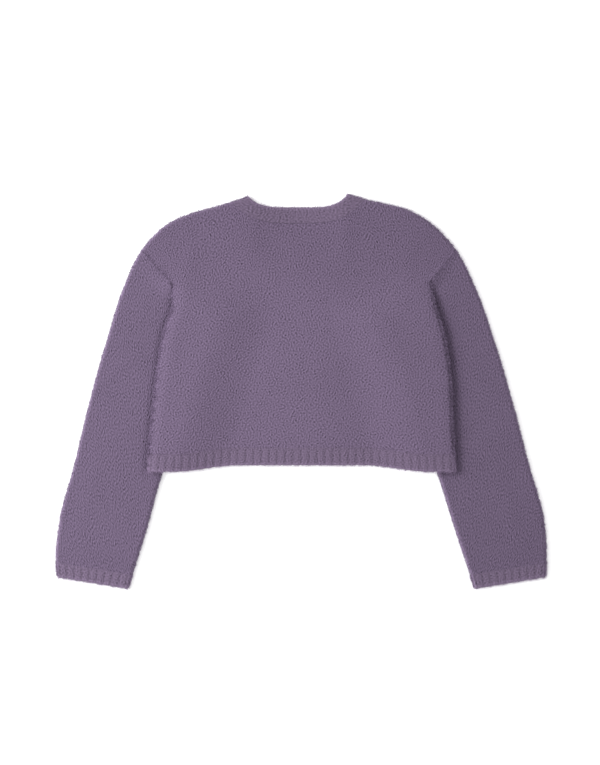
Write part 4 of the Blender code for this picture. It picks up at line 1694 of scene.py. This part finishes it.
        # Painted highlight along the armhole seams, where their welts catch the light.
        seams = SEAM_HIGHLIGHT * beside_armholes(cloth.middle)
        changed = seams + left_side_highlight(cloth.middle) - self.shade * above
        return changed - rim_darkening * rounded(cloth.normal)

    def growth(self, places: Array, normals: Array) -> Array:
        """Nap of the back: longer and thicker along its side folds and its seams.

        Args:
            places: Points of the cloth, one a row.
            normals: Directions out of it.

        Returns:
            How thick and long the nap grows at each point.
        """
        grown = everywhere(places, normals) * over_seam(places, normals)
        for hand in EVERY:
            grown = grown * np.where(beside_fold(places, hand), self.edge_nap, 1.0)
        above = places[:, 1] - FORM.hem_line(places[:, 0]) - FORM.hem_band
        return grown * (1 + np.exp(-((above / SEAM_WIDTH) ** 2)))

    def build(self) -> list[Object]:
        """Build and dress both panels.

        Returns:
            Their pieces.
        """
        cloth = self.back_cloth()
        relief = Relief(self.loops, BACK_CREASES, BACK_LIFTS)
        shell = panel_shell(cloth, relief, self.edge_relief(cloth), self.paler(cloth))
        back = shell.make("back_knit", BRUSHED)
        loose = [
            self.nap.brush("back_nap", shell, BRUSHED, self.growth),
            self.fuzz.brush("back_fuzz", shell, BRUSHED, on_folds),
            self.tufts.brush("back_tufts", shell, BRUSHED, on_side_folds),
        ]
        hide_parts("back_panel")
        cloth = self.front_cloth()
        relief = Relief(self.loops, self.front_creases, pressed=pressed_below)
        front = panel_shell(cloth, relief, np.zeros(len(cloth.middle))).make("front_knit", BRUSHED)
        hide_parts("front_panel")
        return [back, *loose, front]


@dataclass
class Hem:
    """Ribbed band round the lower edge, a wall on the back and a wall on the front."""

    ribs: int = 38
    depth: float = 0.0006
    steps_per_rib: int = 11
    rows: int = 20
    seam_nap: float = 1.5
    front_share: float = 0.5
    loops: Loops = Loops(depth=0.00022, seed=13)
    nap: Nap = Nap(strands=4000, height=0.0010, slant=0.0014, width=0.00030, seed=23)
    fuzz: Nap = edge_fuzz(6000, 0.0036, seed=24)

    def wall(self, layer: Layer, height: Heights) -> tuple[Wall, Array]:
        """Middle of one wall of the band, and the relief of its ribs.

        Args:
            layer: Upper or lower layer.
            height: Height of the layer.

        Returns:
            The wall, from its free edge to its seam, and a relief for each column.
        """
        panel = Panel(0.0)
        count = self.ribs * self.steps_per_rib
        rows = []
        for share in np.linspace(0.0, 1.0, self.rows + 1):
            x = panel.columns(FORM.hem_side_y + FORM.hem_band * share, count)
            low = FORM.hem_line(x) + FORM.half
            high = FORM.hem_line(x) + FORM.hem_band - FORM.seam
            rows.append(np.stack([x, lerp(low, high, share)], axis=1))
        wall = Wall.lay(np.array(rows), layer, height, FORM.side_folds(*EVERY), FORM.seam / 2)
        return wall, -self.depth * rib_row(count, self.steps_per_rib, panel.fold_steps)

    def growth(self, places: Array, normals: Array) -> Array:
        """Nap of the band, thicker over its seam.

        Args:
            places: Points of the band, one a row.
            normals: Directions out of it.

        Returns:
            How thick and long the nap grows at each point.
        """
        below = FORM.hem_line(places[:, 0]) + FORM.hem_band - places[:, 1]
        at_seam = np.exp(-((below / SEAM_WIDTH) ** 2))
        return everywhere(places, normals) * (1 + self.seam_nap * at_seam)

    def build(self) -> list[Object]:
        """Build and dress the band.

        Returns:
            Its pieces.
        """
        wall, ribs = self.wall(Layer.UPPER, FORM.back_height)
        lift = -side_roll(wall.middle[wall.middle.shape[0] // 2])
        relief = Relief(self.loops, BACK_CREASES, BACK_LIFTS)
        shell = band_shell(wall, relief, ribs, ring=False, lift=lift)
        back = shell.make("hem_back", RIBBED)
        nap = self.nap.brush("hem_nap", shell, RIBBED, self.growth)
        fuzz = self.fuzz.brush("hem_fuzz", shell, RIBBED, on_folds)
        wall, ribs = self.wall(Layer.LOWER, FORM.front_height)
        relief = Relief(self.loops, pressed=pressed_below)
        shell = band_shell(wall, relief, ribs * self.front_share, ring=False)
        front = shell.make("hem_front", RIBBED)
        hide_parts("hem_rib_back")
        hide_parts("hem_rib_front")
        return [back, nap, fuzz, front]


@dataclass
class Neckband:
    """Ribbed ring round the neck, folded flat at the shoulders."""

    back_ribs: int = 17
    front_ribs: int = 25
    depth: float = 0.0002
    steps_per_rib: int = 9
    rows: int = 15
    open_width: float = 0.055
    end_step: float = 0.02
    paler: float = -0.07
    loops: Loops = Loops(depth=0.00024, seed=17)
    nap: Nap = Nap(strands=2800, height=0.0010, slant=0.0012, width=0.00030, seed=31)
    fuzz: Nap = edge_fuzz(5200, 0.0036, seed=32)

    def places(self, line: NeckLine, ribs: int) -> tuple[Array, Array]:
        """Places of the columns along one half of the neckline, and the rib valley at each.

        Args:
            line: The half of the neck.
            ribs: Number of ribs along it.

        Returns:
            Places from -1 to 1, and the depths of the valleys, 0 to 1.
        """
        last = np.array([1 - self.end_step, 1.0])
        ends = FORM.neck_curve(line, last, seam=False)
        speed = float(np.linalg.norm(ends[1] - ends[0])) / self.end_step
        offsets = rounding(FORM.fold_radius / speed)
        count = ribs * self.steps_per_rib
        flat = np.linspace(offsets[-1] - 1, 1 - offsets[-1], count + 1)
        places = np.concatenate([offsets[:-1] - 1, flat, 1 - offsets[-2::-1]])
        return places, rib_row(count, self.steps_per_rib, len(offsets) - 1)

    def half(self, line: NeckLine, w: Array, layer: Layer, height: Heights) -> Wall:
        """Middle of one half of the ring, from its free edge to its seam.

        Args:
            line: The half of the neck.
            w: Places of the columns.
            layer: Upper or lower layer.
            height: Height of the layer.

        Returns:
            The wall.
        """
        free = FORM.neck_curve(line, w, seam=False)
        seam = FORM.neck_curve(line, w, seam=True)
        across = unit(free - seam)
        off = (seam[:, :1] - FORM.neck_centre) / self.open_width
        apart = lerp(FORM.seam, FORM.neck_seam, np.exp(-(off**4)))
        low, high = free - across * FORM.half, seam + across * apart
        shares = np.linspace(0.0, 1.0, self.rows + 1)[:, None, None]
        plan = lerp(low[None], high[None], shares)
        return Wall.lay(plan, layer, height, FORM.outer_folds(*EVERY))

    def build(self) -> list[Object]:
        """Build and dress the band.

        Returns:
            Its pieces.
        """
        back_w, back_valleys = self.places(FORM.neck_back, self.back_ribs)
        front_w, front_valleys = self.places(FORM.neck_front, self.front_ribs)
        back = self.half(FORM.neck_back, back_w, Layer.UPPER, FORM.back_height)
        front_w, front_valleys = front_w[-2:0:-1], front_valleys[-2:0:-1] * LOWER_RIBS
        front = self.half(FORM.neck_front, front_w, Layer.LOWER, FORM.front_height)
        rows, columns = front.middle.shape[:2]
        returning = np.arange(columns, 0, -1) / (columns + 1)
        across = np.broadcast_to(back.places[:, -1:, 0] * returning, (rows, columns))
        front.places = np.stack([across, front.places[..., 1]], axis=-1)
        ring = joined(back, front)
        ribs = -self.depth * np.concatenate([back_valleys, front_valleys])
        relief = Relief(self.loops, BACK_LIFTS + BACK_CREASES, pressed=pressed_below)
        shell = band_shell(ring, relief, ribs, ring=True, paler=self.paler)
        band = shell.make("neck_rib", RIBBED)
        nap = self.nap.brush("neck_nap", shell, RIBBED, everywhere)
        fuzz = self.fuzz.brush("neck_fuzz", shell, RIBBED, on_folds)
        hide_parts("neckband")
        return [band, nap, fuzz]


@dataclass
class Sleeve:
    """Sleeve and its ribbed cuff, laid flat with an upper and a lower layer."""

    hand: Hand
    creases: tuple[Crease, ...]
    width: float = 0.148
    step: float = 0.00150
    cuff_seam: int = 6
    cuff_edge: int = 7
    ribs: int = 9
    steps_per_rib: int = 11
    cuff_rows: int = 14
    draft_places: int = 400
    rib_depth: float = 0.0007
    loops: Loops = Loops(depth=0.00026, seed=19)
    rib_loops: Loops = Loops(depth=0.00016, seed=23)
    dip: dict[Hand, float] = by_hand(0.0027, 0.0034)
    dip_width: dict[Hand, float] = by_hand(0.015, 0.023)
    rise_width: dict[Hand, float] = by_hand(0.030, 0.018)
    rise_clearance: dict[Hand, float] = by_hand(0.0015, 0.008)
    dip_end: float = 0.012
    dip_start: float = 0.03
    nap: Nap = Nap(strands=12000, height=0.0012, slant=0.0012, width=0.00030, seed=41)
    fuzz: Nap = edge_fuzz(8000, 0.0032, seed=42)
    cuff_nap: Nap = Nap(strands=1200, height=0.0010, slant=0.0012, width=0.00030, seed=43)
    cuff_fuzz: Nap = edge_fuzz(4200, 0.0034, seed=44, slant=0.0022)

    def tube(self, positions: Array, upper: int, lower: int) -> Wall:
        """Middle of rings of the tube.

        Args:
            positions: Places of the rings along the sleeve, counted in rows of its table.
            upper: Number of steps across the flat part of the upper layer.
            lower: The same for the lower layer.

        Returns:
            The wall; its columns close to a ring.
        """
        side = FORM.sides[self.hand]
        outer = spline(side.outer_knots, FORM.shoulder_end + positions)[:, None]
        inner = spline(side.inner_knots, positions)[:, None]
        width = np.linalg.norm(inner - outer, axis=2)
        offsets = rounding(FORM.fold_radius)
        folds = FORM.outer_folds(self.hand) + FORM.inner_folds(self.hand)
        layers = []
        for layer, height, count in (
            (Layer.UPPER, FORM.sleeve_back_height, upper),
            (Layer.LOWER, FORM.sleeve_front_height, lower),
        ):
            flat = np.linspace(0.0, 1.0, count + 1)[None] * (width - 2 * offsets[-1]) + offsets[-1]
            near = np.broadcast_to(offsets[:-1], (len(positions), len(offsets) - 1))
            along = np.concatenate([near, flat, width - near[:, ::-1]], axis=1)
            columns = along.shape[1]
            places = counted(len(positions), columns)
            places[..., 0] *= (upper + len(near[0]) * 2) / (columns - 1)
            if layer is Layer.LOWER:
                along, places = along[:, -2:0:-1], places[:, -2:0:-1]
            plan = lerp(outer, inner, (along / width)[:, :, None])
            layers.append(Wall.lay(plan, layer, height, folds, places=places))
        return joined(*layers)

    def even_positions(self, start: float, end: float, step: float) -> Array:
        """Places along the sleeve that are a step apart.

        Args:
            start: First place, counted in rows of the sleeve's table.
            end: Last place.
            step: Distance between them, in metres.

        Returns:
            The places.
        """
        side = FORM.sides[self.hand]
        drafted = np.linspace(start, end, self.draft_places)
        outer = spline(side.outer_knots, FORM.shoulder_end + drafted)
        inner = spline(side.inner_knots, drafted)
        run = run_length((outer + inner) / 2)
        return np.interp(np.linspace(0.0, run[-1], round(run[-1] / step) + 1), run, drafted)

    def seam_rise(self, cloth: Cloth) -> Array:
        """Rise of the sleeve's upper layer to the edge of the body that it is sewn to.

        Args:
            cloth: Middle of the sleeve.

        Returns:
            The rise of each point, in metres.
        """
        side = FORM.sides[self.hand]
        plan = cloth.middle[:, :2]
        distance, gaps, _ = nearest(plan, np.stack([side.shoulder_point, side.fold[0]]))
        height = FORM.body_rise * FORM.back_ramp((plan + gaps)[:, 1])
        outside = self.hand.value * plan[:, 0] - side.fold_out(plan[:, 1])
        clear = smoothstep(outside / self.rise_clearance[self.hand])
        near = smoothstep(1 - distance / self.rise_width[self.hand])
        return height * near * clear * smoothstep(cloth.normal[:, 2])

    def dip_relief(self, cloth: Cloth) -> Array:
        """Relief of the sleeve: its seam's welt and rise, and the dip by the body's edge.

        Args:
            cloth: Middle of the sleeve.

        Returns:
            The relief of each point, in metres.
        """
        side = FORM.sides[self.hand]
        outside = self.hand.value * cloth.middle[:, 0] - side.fold_out(cloth.middle[:, 1])
        above = cloth.middle[:, 1] - FORM.hem_line(cloth.middle[:, 0])
        beside = np.clip(1 - np.maximum(outside, 0.0) / self.dip_width[self.hand], 0.0, 1.0)
        below = side.fold[0][1] - cloth.middle[:, 1]
        ends = smoothstep(above / self.dip_end + 0.5) * smoothstep(below / self.dip_start)
        dipped = self.dip[self.hand] * beside**2 * ends * smoothstep(cloth.normal[:, 2])
        return WELT * beside_armholes(cloth.middle) + self.seam_rise(cloth) - dipped

    def growth(self, places: Array, normals: Array) -> Array:
        """Nap of the sleeve: none beneath it or under the body."""
        bare = under_body(places[:, :2])
        return everywhere(places, normals) * over_seam(places, normals) * (1 - bare)

    def fuzz_growth(self, places: Array, normals: Array) -> Array:
        """Fuzz of the sleeve's folds, none under the body."""
        return on_folds(places, normals) * (1 - under_body(places[:, :2]))

    def build_tube(self, word: str) -> list[Object]:
        """Build and dress the sleeve's tube.

        Args:
            word: Side of the garment, as it ends the names of the pieces.

        Returns:
            Its pieces.
        """
        cloth = Cloth()
        positions = self.even_positions(0.0, self.cuff_seam, self.step)
        upper = round(self.width / self.step)
        cloth.add(self.tube(positions, upper, upper // 2), ring=True)
        relief = Relief(self.loops, self.creases, pressed=pressed_sleeve)
        # Painted highlight along the armhole seam, where its welt catches the light.
        paler = SEAM_HIGHLIGHT * beside_armholes(cloth.middle)
        shell = panel_shell(cloth, relief, self.dip_relief(cloth), paler)
        piece = shell.make(f"sleeve_knit_{word}", SHADED_SLEEVE_WOOL)
        nap = self.nap.brush(f"sleeve_nap_{word}", shell, SHADED_SLEEVE_WOOL, self.growth)
        fuzz = self.fuzz.brush(f"sleeve_fuzz_{word}", shell, SHADED_SLEEVE_WOOL, self.fuzz_growth)
        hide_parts(f"sleeve_{word}")
        return [piece, nap, fuzz]

    def build_cuff(self, word: str) -> list[Object]:
        """Build and dress the cuff.

        Args:
            word: Side of the garment, as it ends the names of the pieces.

        Returns:
            Its pieces.
        """
        side = FORM.sides[self.hand]
        length = float(np.linalg.norm(side.outer_knots[-1] - side.outer_knots[-2]))
        start = self.cuff_seam + FORM.seam / length
        positions = np.linspace(self.cuff_edge - FORM.half / length, start, self.cuff_rows + 1)
        count = self.ribs * self.steps_per_rib
        wall = self.tube(positions, count, count)
        upper = rib_row(count, self.steps_per_rib, len(rounding(1.0)) - 1)
        ribs = -self.rib_depth * np.concatenate([upper, upper[-2:0:-1] * LOWER_RIBS])
        relief = Relief(self.rib_loops, pressed=pressed_below)
        shell = band_shell(wall, relief, ribs, ring=True)
        piece = shell.make(f"cuff_rib_{word}", RIBBED)
        nap = self.cuff_nap.brush(f"cuff_nap_{word}", shell, RIBBED, everywhere)
        fuzz = self.cuff_fuzz.brush(f"cuff_fuzz_{word}", shell, RIBBED, on_folds)
        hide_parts(f"cuff_{word}")
        return [piece, nap, fuzz]

    def build(self) -> list[Object]:
        """Build and dress the sleeve and its cuff, and return the pieces."""
        word = self.hand.name.lower()
        return self.build_tube(word) + self.build_cuff(word)


LEFT_CREASES = (
    Crease(-0.300, 0.020, 40.0, 0.040, 0.010, 0.0007),
    Crease(-0.262, -0.020, -25.0, 0.036, 0.010, -0.0006),
    Crease(-0.330, -0.160, 75.0, 0.060, 0.014, 0.0005),
)
RIGHT_CREASES = (
    Crease(0.290, 0.000, -38.0, 0.042, 0.011, 0.0007),
    Crease(0.268, -0.060, 20.0, 0.034, 0.010, -0.0006),
    Crease(0.320, -0.175, -72.0, 0.060, 0.014, 0.0005),
)


@dataclass
class Studio:
    """Pale floor, soft light from the left, and the camera straight above."""

    pixel: float = 0.00155
    frame_height: int = 765
    centre: tuple[float, float] = (-0.0020, 0.0132)
    level: float = 0.010
    lens: float = 85.0
    sensor: float = 36.0
    floor_size: float = 8.0
    floor_color: Color = (0.80, 0.80, 0.80, 1.0)
    floor_glow: float = 0.42
    world_strength: float = 0.82
    key_distance: float = 2.4
    key_elevation: float = 32.0
    key_bearing: float = 172.0
    key_size: float = 1.35
    key_power: float = 82.0
    clip_end: float = 100.0

    def build(self) -> None:
        """Make the floor, the lights and the camera."""
        self.add_floor()
        self.add_world()
        self.add_key()
        self.add_camera()

    def add_floor(self) -> None:
        """Add the floor as a plain plane."""
        bpy.ops.mesh.primitive_plane_add(size=self.floor_size)
        floor = bpy.context.object
        floor.name = "floor"
        material = bpy.data.materials.new("floor_paper")
        material.use_nodes = True
        shader = material.node_tree.nodes["Principled BSDF"]
        shader.inputs["Base Color"].default_value = self.floor_color
        shader.inputs["Roughness"].default_value = 1.0
        shader.inputs["Specular IOR Level"].default_value = 0.0
        shader.inputs["Emission Color"].default_value = (1.0, 1.0, 1.0, 1.0)
        shader.inputs["Emission Strength"].default_value = self.floor_glow
        floor.data.materials.append(material)

    def add_world(self) -> None:
        """Light the scene evenly from all round."""
        world = bpy.data.worlds.new("studio")
        world.use_nodes = True
        background = world.node_tree.nodes["Background"]
        background.inputs["Color"].default_value = (1.0, 1.0, 1.0, 1.0)
        background.inputs["Strength"].default_value = self.world_strength
        bpy.context.scene.world = world

    def add_key(self) -> None:
        """Add the low, soft light from the left."""
        bearing, elevation = math.radians(self.key_bearing), math.radians(self.key_elevation)
        flat = self.key_distance * math.cos(elevation)
        height = self.key_distance * math.sin(elevation)
        place = (flat * math.cos(bearing), flat * math.sin(bearing), height)
        turn = (math.pi / 2 - elevation, 0.0, bearing + math.pi / 2)
        bpy.ops.object.light_add(type="AREA", location=place, rotation=turn)
        key = bpy.context.object
        key.name = "key_light"
        key.data.size = self.key_size
        key.data.energy = self.key_power

    def add_camera(self) -> None:
        """Add the camera, looking straight down at the back."""
        distance = self.pixel * self.frame_height * self.lens / self.sensor
        place = (*self.centre, self.level + distance)
        bpy.ops.object.camera_add(location=place, rotation=(0.0, 0.0, 0.0))
        camera = bpy.context.object
        camera.data.lens = self.lens
        camera.data.sensor_width = self.sensor
        camera.data.clip_end = self.clip_end
        bpy.context.scene.camera = camera
        bpy.context.scene.view_settings.view_transform = "Standard"


def main() -> None:
    """Build every piece around the frame and report it."""
    logging.basicConfig(level=logging.INFO, format="%(message)s")
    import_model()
    bpy.ops.object.select_all(action="DESELECT")
    Studio().build()
    sleeves = (Sleeve(Hand.LEFT, LEFT_CREASES), Sleeve(Hand.RIGHT, RIGHT_CREASES))
    parts = (Body(), Hem(), Neckband(), *sleeves)
    for part in parts:
        for piece in part.build():
            piece.data.calc_loop_triangles()
            LOG.info("%s: %d triangles", piece.name, len(piece.data.loop_triangles))


if __name__ == "__main__":
    main()
